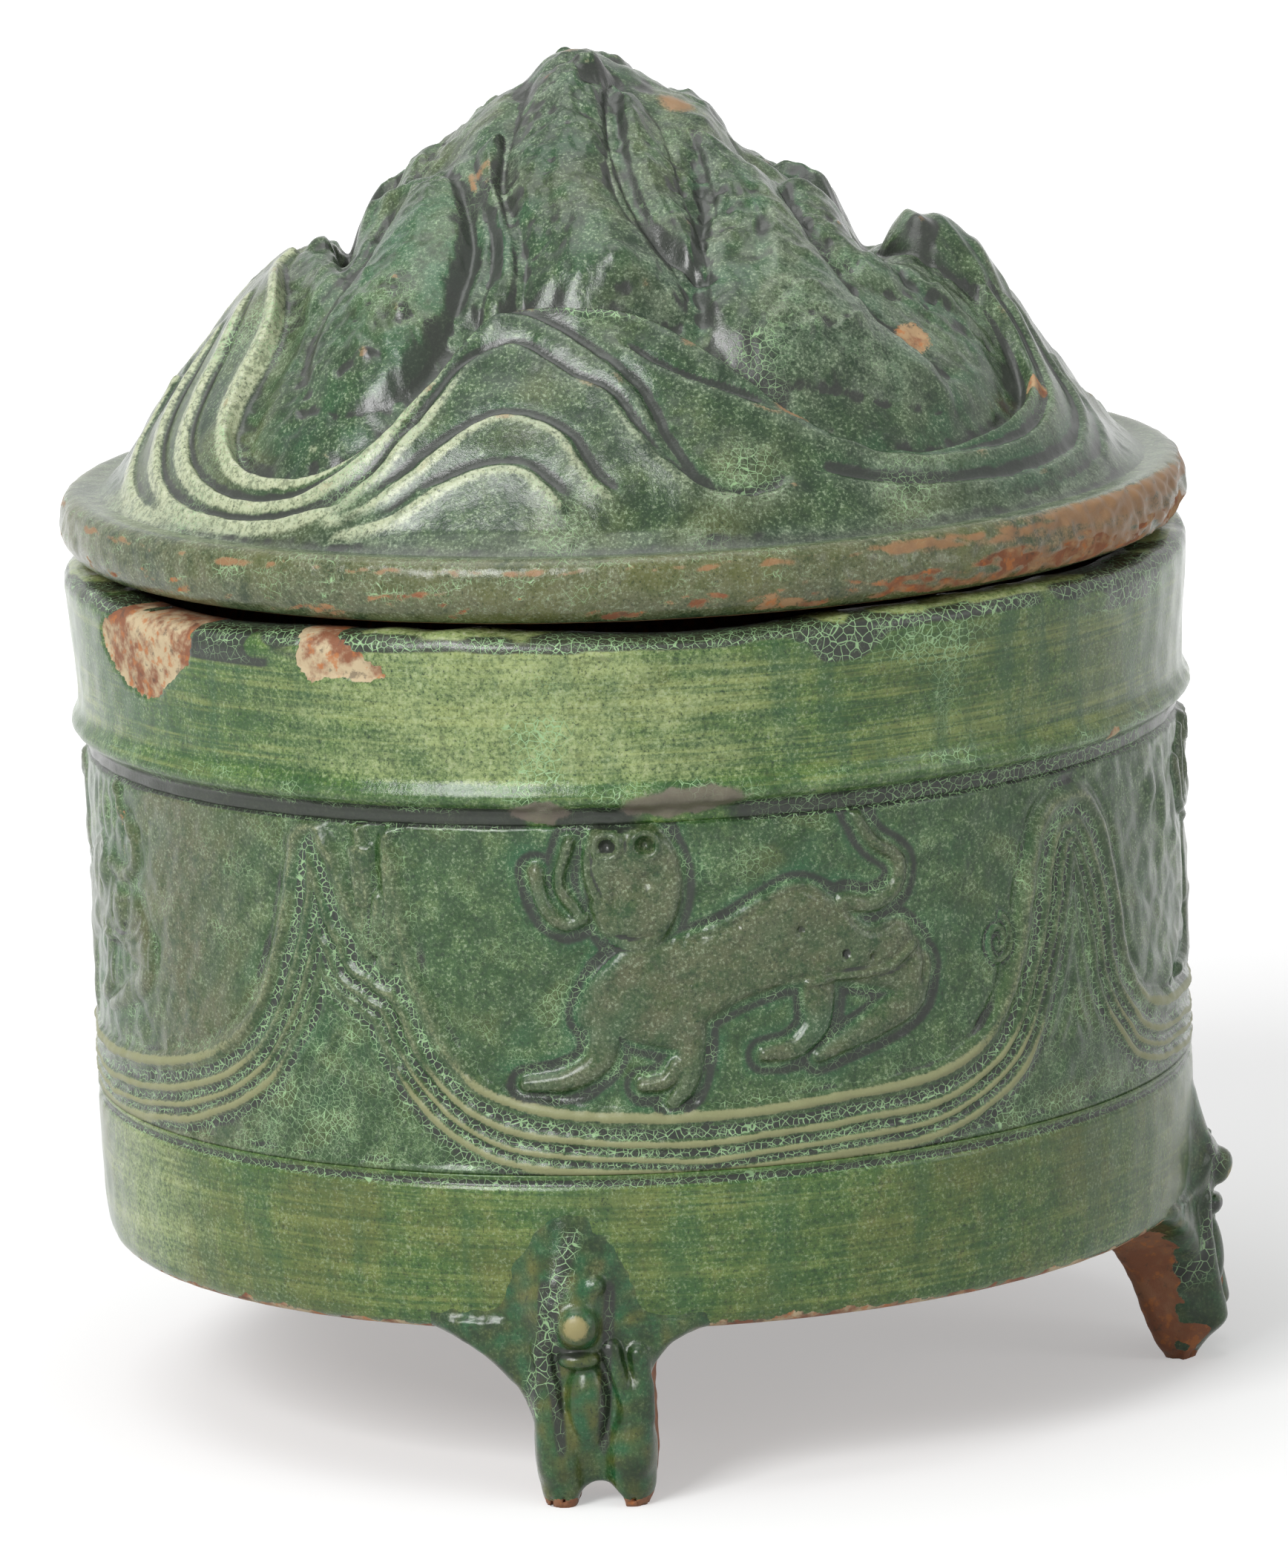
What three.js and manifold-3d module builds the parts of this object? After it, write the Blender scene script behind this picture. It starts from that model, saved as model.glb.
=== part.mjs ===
// Hill jar: a cylindrical jar of green-glazed earthenware on three bear feet, under a loose lid
// shaped as a mountain. Millimetres, +Z up. The feet stand on z = 0 and the front faces -Y.
// Azimuths are in degrees: 0 is the front, 90 the right side (+X).

import * as THREE from 'three';
import { mergeVertices } from 'three/addons/utils/BufferGeometryUtils.js';
import Module from 'manifold-3d';

const wasm = await Module();
wasm.setup();

// Driving dimensions of the jar
const seatGap = 0.3;            // left between two pieces that are luted or that rest on each other
const wallBottom = 29.5;        // underside of the wall above the ground
const rimTop = 150;             // top of the jar's mouth above the ground
const wallRadius = 97.3;        // outside, at the plain bands
const wallThickness = 9.3;
const bottomChamfer = 2.8;      // how far the wall draws in at its lower edge
const rimFlare = 1.6;           // how far the mouth stands outside the plain bands
const rimRound = 3.6;           // roundness of the mouth's outer lip
const beadHeight = 1.5;         // how far the bead over the frieze stands out
const floorThickness = 9.2;

// Driving dimensions of the moulded frieze
const friezeBottom = 57;
const friezeTop = 117;
const friezeRecess = 3.6;       // depth of the groove that holds the strip
const friezeSkin = 2.2;         // thickness of the strip without its relief
const friezeRelief = 1.5;       // height of the mountains and beasts over the strip

// Driving dimensions of the lid
const flangeOverhang = 2;       // how far the flange reaches past the wall's plain bands
const flangeHeight = 12;
const flangeLand = 12;          // how far the flange reaches inside the wall's bore
const flangeFoot = 5.3;         // how far the flange rounds in at its underside
const shelfWidth = 10.6;        // width of the flange outside the hill's foot
const hillHeight = 74.5;        // from the flange to the summit
const hillWall = 13.6;          // thickness of the hill, measured straight down
const summitOffset = -5.5;      // the summit leans to the left

// Driving dimensions of the feet
const footAzimuths = { foot_front: -7, foot_right: 86, foot_back: -138 };
const footWidth = 20;           // across the two legs
const footDepth = 15;           // front to back, halfway up the legs
const kneeReach = 4.7;          // how far the legs stand out past the wall
const snoutReach = 6.9;         // how far the snout stands out past the wall
const footTongue = 17.5;        // how far the bear's brow climbs the wall
const archRadius = 3.9;         // the gap between the two paws

const degree = Math.PI / 180;
const wallInside = wallRadius - wallThickness;
const recessRadius = wallRadius - friezeRecess;
const rimRadius = wallRadius + rimFlare;
const flangeRadius = wallRadius + flangeOverhang;
const flangeBore = wallInside - flangeLand;
const hillFootRadius = flangeRadius - shelfWidth;
const kneeRadius = wallRadius + kneeReach;
const snoutRadius = wallRadius + snoutReach;

// Solids and geometries

function withoutSlivers(geometry) {
  const index = geometry.index.array;
  const kept = [];
  for (let i = 0; i < index.length; i += 3) {
    const [a, b, c] = [index[i], index[i + 1], index[i + 2]];
    if (a !== b && b !== c && c !== a) kept.push(a, b, c);
  }
  geometry.setIndex(kept);
  return geometry;
}

function welded(geometry) {
  const bare = geometry.clone();
  bare.deleteAttribute('normal');
  bare.deleteAttribute('uv');
  return withoutSlivers(mergeVertices(bare, 1e-4));
}

function solidOf(geometry) {
  const bare = welded(geometry);
  return new wasm.Manifold(new wasm.Mesh({
    numProp: 3,
    vertProperties: new Float32Array(bare.attributes.position.array),
    triVerts: new Uint32Array(bare.index.array),
  }));
}

function geometryOf(solid) {
  const mesh = solid.getMesh();
  const geometry = new THREE.BufferGeometry();
  geometry.setAttribute('position', new THREE.BufferAttribute(new Float32Array(mesh.vertProperties), 3));
  geometry.setIndex(Array.from(mesh.triVerts));
  geometry.computeVertexNormals();
  return geometry;
}

// A profile of [radius, height] pairs, going up outside and down inside, turned round +Z
function turned(profile, segments, closed) {
  const points = profile.map(([r, z]) => new THREE.Vector2(r, z));
  if (closed) points.push(points[0].clone());
  const geometry = new THREE.LatheGeometry(points, segments);
  geometry.rotateX(Math.PI / 2);
  return welded(geometry);
}

// A skin through rings of points, each ring counterclockwise seen from the last one.
// Open skins are capped by a fan to the middle of the first and last ring.
function lofted(rings, closed) {
  const count = rings[0].length;
  const positions = [];
  const index = [];
  for (const ring of rings) for (const p of ring) positions.push(p.x, p.y, p.z);
  const bands = closed ? rings.length : rings.length - 1;
  for (let i = 0; i < bands; i++) {
    const low = i * count;
    const high = ((i + 1) % rings.length) * count;
    for (let j = 0; j < count; j++) {
      const k = (j + 1) % count;
      index.push(low + j, low + k, high + k, low + j, high + k, high + j);
    }
  }
  if (!closed) {
    for (const last of [false, true]) {
      const ring = last ? rings[rings.length - 1] : rings[0];
      const start = last ? (rings.length - 1) * count : 0;
      const middle = ring.reduce((sum, p) => sum.add(p), new THREE.Vector3()).divideScalar(count);
      const centre = positions.length / 3;
      positions.push(middle.x, middle.y, middle.z);
      for (let j = 0; j < count; j++) {
        const k = (j + 1) % count;
        if (last) index.push(centre, start + j, start + k);
        else index.push(centre, start + k, start + j);
      }
    }
  }
  const geometry = new THREE.BufferGeometry();
  geometry.setAttribute('position', new THREE.Float32BufferAttribute(positions, 3));
  geometry.setIndex(index);
  geometry.computeVertexNormals();
  return geometry;
}

// Curves

const clamp01 = (value) => Math.min(1, Math.max(0, value));

function smoothStep(low, high, value) {
  const t = clamp01((value - low) / (high - low));
  return t * t * (3 - 2 * t);
}

// A smooth line through [place, value] knots; a period makes it run round and join itself
function through(knots, place, period) {
  const count = knots.length;
  const knot = (i) => {
    if (!period) return knots[Math.min(count - 1, Math.max(0, i))];
    const turn = Math.floor(i / count);
    const [at, value] = knots[i - turn * count];
    return [at + turn * period, value];
  };
  let at = place;
  if (period) at = knots[0][0] + ((((place - knots[0][0]) % period) + period) % period);
  let i = 0;
  while (i < count - 1 && knots[i + 1][0] <= at) i++;
  const [p0, v0] = knot(i - 1);
  const [p1, v1] = knot(i);
  const [p2, v2] = knot(i + 1);
  const [p3, v3] = knot(i + 2);
  if (p2 === p1) return v1;
  const t = clamp01((at - p1) / (p2 - p1));
  const slope1 = p2 === p0 ? 0 : ((v2 - v0) / (p2 - p0)) * (p2 - p1);
  const slope2 = p3 === p1 ? 0 : ((v3 - v1) / (p3 - p1)) * (p2 - p1);
  const t2 = t * t;
  const t3 = t2 * t;
  return (2 * t3 - 3 * t2 + 1) * v1 + (t3 - 2 * t2 + t) * slope1
    + (3 * t2 - 2 * t3) * v2 + (t3 - t2) * slope2;
}

// A rounded ridge that runs from one [x, y] to another: its height at a point
function ridgeAt(x, y, from, to, halfWidth, height) {
  const along = [to[0] - from[0], to[1] - from[1]];
  const lengthSquared = along[0] ** 2 + along[1] ** 2 || 1;
  const t = clamp01(((x - from[0]) * along[0] + (y - from[1]) * along[1]) / lengthSquared);
  const away = Math.hypot(x - from[0] - t * along[0], y - from[1] - t * along[1]) / halfWidth;
  return away < 1 ? height * (1 - away * away) ** 2 : 0;
}

// Jar wall: thrown cylinder with a recess for the frieze, a bead over it and a rounded mouth

const wallSegments = 52;
const beadFoot = friezeTop + 1;
const beadTop = beadFoot + 6;

function wallOutside() {
  const lip = [];
  for (let i = 0; i <= 3; i++) {
    const turn = (i / 3) * 90 * degree;
    lip.push([rimRadius - rimRound * (1 - Math.cos(turn)), rimTop - rimRound * (1 - Math.sin(turn))]);
  }
  return [
    [wallRadius - bottomChamfer, wallBottom],
    [wallRadius - 0.35 * bottomChamfer, wallBottom + 2],
    [wallRadius - 0.1 * bottomChamfer, wallBottom + 8],
    [wallRadius, friezeBottom - 1],
    [recessRadius, friezeBottom],
    [recessRadius, friezeTop],
    [wallRadius - 0.1, beadFoot],
    [wallRadius + 0.75 * beadHeight, beadFoot + 1.5],
    [wallRadius + beadHeight, beadFoot + 3],
    [wallRadius + 0.6 * beadHeight, beadFoot + 4.8],
    [wallRadius + 0.1, beadTop],
    [wallRadius + 0.2 * rimFlare, beadTop + 8],
    [wallRadius + 0.85 * rimFlare, rimTop - 10],
    ...lip,
  ];
}

function makeWall() {
  const profile = [
    ...wallOutside(),
    [wallInside + 2, rimTop],
    [wallInside + 0.6, rimTop - 1.5],
    [wallInside, rimTop - 5],
    [wallInside, wallBottom],
  ];
  return turned(profile, wallSegments, true);
}

// Floor: a slab luted inside the lower edge of the wall

function makeFloor() {
  const radius = wallInside - seatGap;
  const top = wallBottom + seatGap + floorThickness;
  const profile = [[0, wallBottom + seatGap], [radius, wallBottom + seatGap], [radius, top - 1], [radius - 1, top], [0, top]];
  return turned(profile, wallSegments, false);
}

// Frieze: a strip pressed in a mould and luted into the recess. Four mountains rise from its
// three base lines, and a beast walks left between each two of them.

const friezeColumns = 88;
const friezeRows = 12;
const mountainAzimuths = [-37, 50, 140, -130];
const beastAzimuths = [8, 95, 185, -84];
const mountainHalfWidth = 7;     // degrees, where a mountain has lost half its height
const mountainRise = 48;
const groundLine = 67.3;         // upper base line that the beasts walk on

// The beast's limbs as [x from, z from, x to, z to, half width], x to the right of its middle
const beastLimbs = [
  [-15, 93, 3, 93, 7],
  [3, 93, 15, 98, 7.5],
  [15, 98, 33, 92, 5.5],
  [-14, 97, -13, 110, 7.5],
  [-20, 87, -27, 74, 4.5],
  [-8, 86, -7, 72, 4.5],
  [15, 90, 10, 77, 4.5],
  [33, 88, 21, 76, 4.5],
  [26, 100, 33, 107, 3.5],
];

const wrapDegrees = (angle) => ((((angle + 180) % 360) + 360) % 360) - 180;

function friezeReliefAt(azimuth, z) {
  let height = 0;
  for (const peak of mountainAzimuths) {
    const away = Math.abs(wrapDegrees(azimuth - peak)) / mountainHalfWidth;
    const crest = groundLine + mountainRise / (1 + away ** 3);
    const inside = smoothStep(-2, 2, crest - z);
    height = Math.max(height, 0.75 * inside);
  }
  for (const middle of beastAzimuths) {
    const x = wrapDegrees(azimuth - middle) * degree * wallRadius;
    for (const [x1, z1, x2, z2, halfWidth] of beastLimbs) {
      height = Math.max(height, ridgeAt(x, z, [x1, z1], [x2, z2], halfWidth, 1));
    }
  }
  return friezeRelief * height;
}

function makeFrieze() {
  const inside = recessRadius + seatGap;
  const outside = inside + friezeSkin;
  const low = friezeBottom + seatGap;
  const high = friezeTop - seatGap;
  const rings = [];
  for (let i = 0; i < friezeColumns; i++) {
    const azimuth = (i / friezeColumns) * 360;
    const outward = new THREE.Vector2(Math.sin(azimuth * degree), -Math.cos(azimuth * degree));
    const place = (r, z) => new THREE.Vector3(r * outward.x, r * outward.y, z);
    const ring = [place(inside, low)];
    for (let j = 0; j <= friezeRows; j++) {
      const share = j / friezeRows;
      const z = low + (high - low) * share;
      const edge = j === 0 || j === friezeRows ? 0 : 1;
      ring.push(place(outside + edge * friezeReliefAt(azimuth, z), z));
    }
    ring.push(place(inside, high));
    rings.push(ring.reverse());
  }
  return lofted(rings, true);
}

// Lid flange: a thick ring with a rounded edge and a shallow shelf round the hill

const flangeSegments = 52;
const flangeBottom = rimTop + seatGap;
const flangeTop = flangeBottom + flangeHeight;

function makeFlange() {
  const shelf = 0.5;
  const profile = [
    [flangeBore, flangeBottom],
    [flangeRadius - flangeFoot, flangeBottom],
    [flangeRadius - 0.42 * flangeFoot, flangeBottom + 0.12 * flangeHeight],
    [flangeRadius - 0.08 * flangeFoot, flangeBottom + 0.35 * flangeHeight],
    [flangeRadius, flangeBottom + 0.56 * flangeHeight],
    [flangeRadius - 0.06 * flangeFoot, flangeBottom + 0.82 * flangeHeight],
    [flangeRadius - 0.2 * flangeFoot, flangeTop - 0.3],
    [flangeRadius - 0.45 * flangeFoot, flangeTop],
    [hillFootRadius + 3, flangeTop - shelf],
    [hillFootRadius + 1, flangeTop],
    [flangeBore, flangeTop],
  ];
  return turned(profile, flangeSegments, true);
}

// Lid hill: a hollow mountain pressed in a mould. Two tiers of overlapping wave-shaped peaks
// lead up to the summit. Radii are shares of the hill's foot radius.

const hillColumns = 80;
const hillBottom = flangeTop + seatGap;
const slantPerRadius = 1.5;      // length down the slope for each unit of radius

// Height of the hill between its ridges, as a share of its full height
const hillSlope = [
  [0, 0.925], [0.06, 0.918], [0.135, 0.882], [0.225, 0.805], [0.34, 0.71], [0.45, 0.617],
  [0.565, 0.515], [0.68, 0.41], [0.79, 0.283], [0.9, 0.142], [0.965, 0.045], [1, 0],
];

// The lower tier's crest on the front half, from the left peak by two valleys to the right peak
const waveCrestFront = [
  [-88, 0.59], [-78, 0.575], [-68, 0.61], [-60, 0.7], [-56, 0.86], [-50, 0.91], [-40, 0.91],
  [-33, 0.86], [-26, 0.77], [-19, 0.67], [-12, 0.655], [-4, 0.665], [3, 0.66], [10, 0.7],
  [16, 0.78], [22, 0.845], [30, 0.9], [40, 0.925], [52, 0.925], [61, 0.9], [70, 0.84],
  [77, 0.755], [83, 0.66],
];
const waveHeight = [[-180, 5], [-130, 3], [-88, 4.5], [-48, 3], [-10, 4.5], [42, 3.5], [90, 8.5], [135, 3.5]];

// The upper tier's crest: two mountains on each half
const peakCrestFront = [
  [-90, 0.5], [-75, 0.39], [-60, 0.33], [-46, 0.345], [-34, 0.41], [-26, 0.5], [-20, 0.6],
  [-12, 0.6], [0, 0.58], [10, 0.62], [18, 0.62], [26, 0.52], [35, 0.43], [50, 0.385], [68, 0.385],
  [80, 0.44],
];
const peakHeight = 3.2;

const halfTurned = (knots) => [...knots, ...knots.map(([azimuth, value]) => [azimuth + 180, value])];
const waveCrest = halfTurned(waveCrestFront);
const peakCrest = halfTurned(peakCrestFront);

// Spurs from the summit as [x from, y from, x to, y to, half width, height]
const summitSpurs = [
  [-2, -4, -5, -52, 15, 5],
  [13, -10, 17, -40, 11, 4],
  [-12, -2, -15, -3, 8, 3.5],
  [2, 6, 8, 50, 15, 4.5],
  [-14, 10, -20, 38, 11, 3.5],
];

// How far a point lies outside a crest, down the slope and square to the crest
function beyondCrest(crest, azimuth, radius) {
  const step = 3;
  const here = through(crest, azimuth, 360) * hillFootRadius;
  const before = through(crest, azimuth - step, 360) * hillFootRadius;
  const after = through(crest, azimuth + step, 360) * hillFootRadius;
  const lean = ((after - before) * slantPerRadius) / (2 * step * degree * here);
  return ((radius - here) * slantPerRadius) / Math.hypot(1, lean);
}

// A sheet that starts at a crest: a groove inside, a rounded lip and a step down the slope
function sheet(beyond, height) {
  const groove = 0.75 * height * Math.exp(-(((beyond + 4) / 3.2) ** 2));
  const lip = 0.35 * height * Math.exp(-(((beyond - 3.5) / 3.5) ** 2));
  return height * smoothStep(-2.5, 2.5, beyond) + lip - groove;
}

function hillPoint(azimuth, radius) {
  const angle = azimuth * degree;
  const lean = summitOffset * (1 - radius / hillFootRadius);
  const x = radius * Math.sin(angle) + lean;
  const y = -radius * Math.cos(angle);
  const share = radius / hillFootRadius;
  const fade = smoothStep(0, 9, hillFootRadius - radius);
  let relief = fade * sheet(beyondCrest(waveCrest, azimuth, radius), through(waveHeight, azimuth, 360));
  relief += smoothStep(0.12, 0.3, share) * sheet(beyondCrest(peakCrest, azimuth, radius), peakHeight)
    * (1 - smoothStep(-6, 2, beyondCrest(waveCrest, azimuth, radius)));
  const dome = ridgeAt(x, y, [summitOffset, 0], [summitOffset, 0], 15, 0.075 * hillHeight);
  let spur = 0;
  for (const [x1, y1, x2, y2, halfWidth, height] of summitSpurs) {
    spur = Math.max(spur, ridgeAt(x, y, [x1, y1], [x2, y2], halfWidth, height));
  }
  spur *= 1 - smoothStep(-6, 0, beyondCrest(waveCrest, azimuth, radius));
  const z = hillBottom + hillHeight * through(hillSlope, share) + relief + Math.max(spur, dome);
  return new THREE.Vector3(x, y, z);
}

// Rows of points from the foot to the summit, drawn together along the lower tier's crest
function makeHill() {
  const rowsBelow = 9;
  const lipRows = [3.2, 1.2, -0.8, -2.8];
  const rowsAbove = 12;
  const rings = [];
  const foot = [];
  for (let i = 0; i < hillColumns; i++) {
    const angle = (i / hillColumns) * 2 * Math.PI;
    foot.push(new THREE.Vector3(hillFootRadius * Math.sin(angle), -hillFootRadius * Math.cos(angle), hillBottom));
  }
  rings.push(foot);
  const ringAt = (radiusAt) => {
    const ring = [];
    for (let i = 0; i < hillColumns; i++) {
      const azimuth = (i / hillColumns) * 360;
      ring.push(hillPoint(azimuth, radiusAt(through(waveCrest, azimuth, 360) * hillFootRadius)));
    }
    return ring;
  };
  for (let i = 1; i <= rowsBelow; i++) {
    const share = i / (rowsBelow + 1);
    rings.push(ringAt((crest) => hillFootRadius - 0.8 - (hillFootRadius - 0.8 - crest - lipRows[0]) * share));
  }
  for (const offset of lipRows) rings.push(ringAt((crest) => crest + offset));
  for (let i = 1; i <= rowsAbove; i++) {
    const share = i / (rowsAbove + 0.5);
    rings.push(ringAt((crest) => (crest + lipRows[3]) * (1 - share)));
  }
  return geometryOf(solidOf(lofted(rings, false)).subtract(hillHollow()));
}

function hillHollow() {
  const profile = [];
  for (const share of [0.86, 0.75, 0.6, 0.45, 0.3, 0.15, 0]) {
    const z = hillBottom + hillHeight * through(hillSlope, share) - hillWall;
    profile.push([share * hillFootRadius, Math.max(z, hillBottom + 0.5)]);
  }
  profile.unshift([flangeBore, hillBottom - 5], [flangeBore, hillBottom + 0.5]);
  profile.unshift([0, hillBottom - 5]);
  return solidOf(turned(profile.filter(([r]) => r <= flangeBore), 40, false));
}

// Feet: squatting bears, pressed in a mould and luted to the lower edge of the jar. Each is
// drawn at the front, standing out towards -Y, and then turned to its place.

const ringPoints = 16;
const legHalf = footWidth / 2;

// The bear's legs and flanks under the wall, as shares: [height of the wall's underside, left and
// right of half the foot's width, outer and inner face of its depth inside the knees]
const legSections = [
  [0, -0.85, 0.85, 0.4, 0.77],
  [0.1, -0.97, 0.98, 0.2, 0.85],
  [0.27, -1.02, 1.02, 0.12, 0.97],
  [0.475, -1, 1, 0.17, 1.08],
  [0.68, -1.03, 1, 0.17, 1.17],
  [0.815, -1.17, 1.06, 0.19, 1.27],
  [0.915, -1.45, 1.25, 0.2, 1.37],
  [1.017, -1.9, 1.5, 0.21, 1.43],
  [1.136, -1.35, 1.15, 0.16, 1.33],
];

// The brow that climbs the wall, with its height as a share of the tongue
const browSections = [
  [0.5, -0.9, 0.8, 0.12],
  [0.78, -0.5, 0.45, 0.19],
  [1, -0.15, 0.15, 0.27],
];

// Rounded masses on the foot: middle as [across, inside the knees or snout, up], then half sizes.
// Heights are shares of the wall's underside, and the rest are shares of half the foot's width.
const bearMasses = [
  { name: 'head', on: snoutRadius, middle: [-0.2, 0.54, 1.07], half: [0.52, 0.53, 0.66] },
  { name: 'snout', on: snoutRadius, middle: [-0.24, 0.36, 1.11], half: [0.37, 0.36, 0.37] },
  { name: 'belly', on: kneeRadius, middle: [-0.08, 0.4, 0.56], half: [0.4, 0.38, 0.75] },
  { name: 'left_leg', on: kneeRadius, middle: [-0.57, 0.46, 0.27], half: [0.42, 0.46, 0.95] },
  { name: 'right_leg', on: kneeRadius, middle: [0.57, 0.46, 0.27], half: [0.42, 0.46, 0.95] },
  { name: 'left_arm', on: kneeRadius, middle: [-0.82, 0.44, 0.68], half: [0.24, 0.32, 0.8] },
  { name: 'right_arm', on: kneeRadius, middle: [0.8, 0.44, 0.68], half: [0.24, 0.32, 0.8] },
];

function footSections() {
  const legs = legSections.map(([up, left, right, outer, inner]) => (
    [up * wallBottom, left * legHalf, right * legHalf, kneeRadius - outer * footDepth, kneeRadius - inner * footDepth]));
  const brow = browSections.map(([up, left, right, outer]) => (
    [wallBottom + up * footTongue, left * legHalf, right * legHalf, kneeRadius - outer * footDepth, wallInside]));
  return [...legs, ...brow];
}

function footRing([z, left, right, outer, inner]) {
  const ring = [];
  const middle = (left + right) / 2;
  const halfAcross = (right - left) / 2;
  const centre = (outer + inner) / 2;
  const halfOut = (outer - inner) / 2;
  const squared = (value) => Math.sign(value) * Math.abs(value) ** 0.75;
  for (let i = 0; i < ringPoints; i++) {
    const turn = (i / ringPoints) * 2 * Math.PI;
    const x = middle + halfAcross * squared(Math.cos(turn));
    const y = -centre + halfOut * squared(Math.sin(turn));
    ring.push(new THREE.Vector3(x, y, z));
  }
  return ring;
}

// Everything inside the wall's outer face, grown by the seat gap
function jarBodyGrown() {
  const under = wallBottom - seatGap;
  const face = wallOutside().map(([r, z]) => [r + seatGap, z]);
  const profile = [[0, under], [face[0][0], under], ...face.slice(1, 6), [0, friezeTop]];
  return solidOf(turned(profile, wallSegments, false));
}

function makeFoot(azimuth) {
  let bear = solidOf(lofted(footSections().map(footRing), false));
  for (const { on, middle, half } of bearMasses) {
    const mass = new THREE.SphereGeometry(legHalf, 10, 8);
    mass.rotateX(Math.PI / 2);
    mass.scale(...half);
    mass.translate(middle[0] * legHalf, middle[1] * legHalf - on, middle[2] * wallBottom);
    bear = bear.add(solidOf(mass));
  }
  const ground = new THREE.BoxGeometry(6 * legHalf, 6 * legHalf, 2 * legHalf);
  ground.translate(0, -kneeRadius, -legHalf);
  const arch = new THREE.CylinderGeometry(archRadius, archRadius, 6 * legHalf, 14);
  arch.translate(0, -kneeRadius, 0);
  bear = bear.subtract(solidOf(ground)).subtract(solidOf(arch));
  const turnedBear = geometryOf(bear);
  turnedBear.rotateZ(azimuth * degree);
  return geometryOf(solidOf(turnedBear).subtract(jarBodyGrown()));
}

// Finishes

const greenGlaze = new THREE.MeshStandardMaterial({ color: '#3f6b3c', roughness: 0.32, metalness: 0 });
const friezeGlaze = new THREE.MeshStandardMaterial({ color: '#3a5f42', roughness: 0.34, metalness: 0 });
const hillGlaze = new THREE.MeshStandardMaterial({ color: '#47714a', roughness: 0.36, metalness: 0 });
const wornGlaze = new THREE.MeshStandardMaterial({ color: '#5c6b41', roughness: 0.45, metalness: 0 });
const footGlaze = new THREE.MeshStandardMaterial({ color: '#41623a', roughness: 0.34, metalness: 0 });
const redClay = new THREE.MeshStandardMaterial({ color: '#8a5a40', roughness: 0.85, metalness: 0 });

// Assembly

function piece(name, geometry, material) {
  const mesh = new THREE.Mesh(geometry, material);
  mesh.name = name;
  return mesh;
}

const jar = new THREE.Group();
jar.add(piece('jar_wall', makeWall(), greenGlaze));
jar.add(piece('jar_floor', makeFloor(), redClay));
jar.add(piece('relief_frieze', makeFrieze(), friezeGlaze));
for (const [name, azimuth] of Object.entries(footAzimuths)) {
  jar.add(piece(name, makeFoot(azimuth), footGlaze));
}

const lid = new THREE.Group();
lid.add(piece('lid_rim', makeFlange(), wornGlaze));
lid.add(piece('lid_hill', makeHill(), hillGlaze));

const hillJar = new THREE.Group();
hillJar.add(jar, lid);

// The origin lies on the ground under the middle of the bounding box
const extent = new THREE.Box3().setFromObject(hillJar);
hillJar.position.set(-(extent.min.x + extent.max.x) / 2, -(extent.min.y + extent.max.y) / 2, -extent.min.z);

export default hillJar;
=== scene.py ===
"""Hill jar: a lidded cylindrical jar of green-glazed earthenware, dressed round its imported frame.

Shapes are worked out in millimetres round the jar's upright axis, with z up from the ground.
Azimuths are in degrees: 0 is the front (-Y) and 90 the right side (+X).
"""

import math

import bpy
import numpy as np
from mathutils import Matrix, Vector


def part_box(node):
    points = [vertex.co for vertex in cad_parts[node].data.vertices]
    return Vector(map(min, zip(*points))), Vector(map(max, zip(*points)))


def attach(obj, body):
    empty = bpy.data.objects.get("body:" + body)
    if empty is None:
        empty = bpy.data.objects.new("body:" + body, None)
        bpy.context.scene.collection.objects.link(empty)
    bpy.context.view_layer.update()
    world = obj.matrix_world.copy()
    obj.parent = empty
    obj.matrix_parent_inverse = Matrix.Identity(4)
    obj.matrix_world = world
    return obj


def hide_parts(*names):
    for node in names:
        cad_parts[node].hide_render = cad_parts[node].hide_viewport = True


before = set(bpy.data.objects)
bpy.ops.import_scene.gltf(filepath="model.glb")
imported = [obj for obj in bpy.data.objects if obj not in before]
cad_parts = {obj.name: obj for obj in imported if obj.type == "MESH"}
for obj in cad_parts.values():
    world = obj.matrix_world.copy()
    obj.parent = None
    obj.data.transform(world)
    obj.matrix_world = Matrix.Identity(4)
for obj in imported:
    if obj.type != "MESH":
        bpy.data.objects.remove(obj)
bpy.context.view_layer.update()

# Jar wall. A cylinder of red earthenware thrown on the wheel, with a rounded mouth and a turned
# bead over the frieze. It was dipped in green lead glaze, which has crazed, pooled in the grooves
# and flaked off the mouth in two places. A broad painted highlight lies over the front of the upper
# band, the left side is painted lighter, and a silvery painted sheen lies on the bead.
floor_low, floor_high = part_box("jar_floor")
# The jar's axis stands in the middle of its floor, here in mm
axis_x = 500 * (floor_low.x + floor_high.x)
axis_y = 500 * (floor_low.y + floor_high.y)
arc_per_degree = 1.7  # mm round the wall for each degree
wall_radius = 97.3
wall_foot = 29.5
mouth_height = 150.0
wall_columns = 960
flake_depth = 0.55
# Heights where each band of the wall starts and ends
frieze_band = (58, 116)
groove_band = (116.6, 119.7)
bead_band = (120, 122.5)
upper_band = (123, 150)
rim_band = (146.9, 149)
# The wall's outside as height and radius, with a recess for the frieze
wall_profile = [
    (29.5, 94.5), (30.2, 95.6), (31.6, 96.3), (34, 96.7), (38, 97.0), (46, 97.3), (54, 97.35),
    (54.8, 97.1), (55.4, 96.7), (56.0, 96.9), (56.5, 97.2), (57, 97.15), (57.6, 94.4), (60, 94.0),
    (114, 94.0), (116.3, 94.4), (116.8, 95.7), (117.4, 96.1), (118.6, 96.1), (119.5, 96.5),
    (120.2, 97.4), (120.9, 98.3), (121.8, 98.7), (122.9, 98.4), (124.1, 97.8), (125.6, 97.4),
    (132, 97.6), (140, 98.3), (146.4, 98.8),
]
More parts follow.
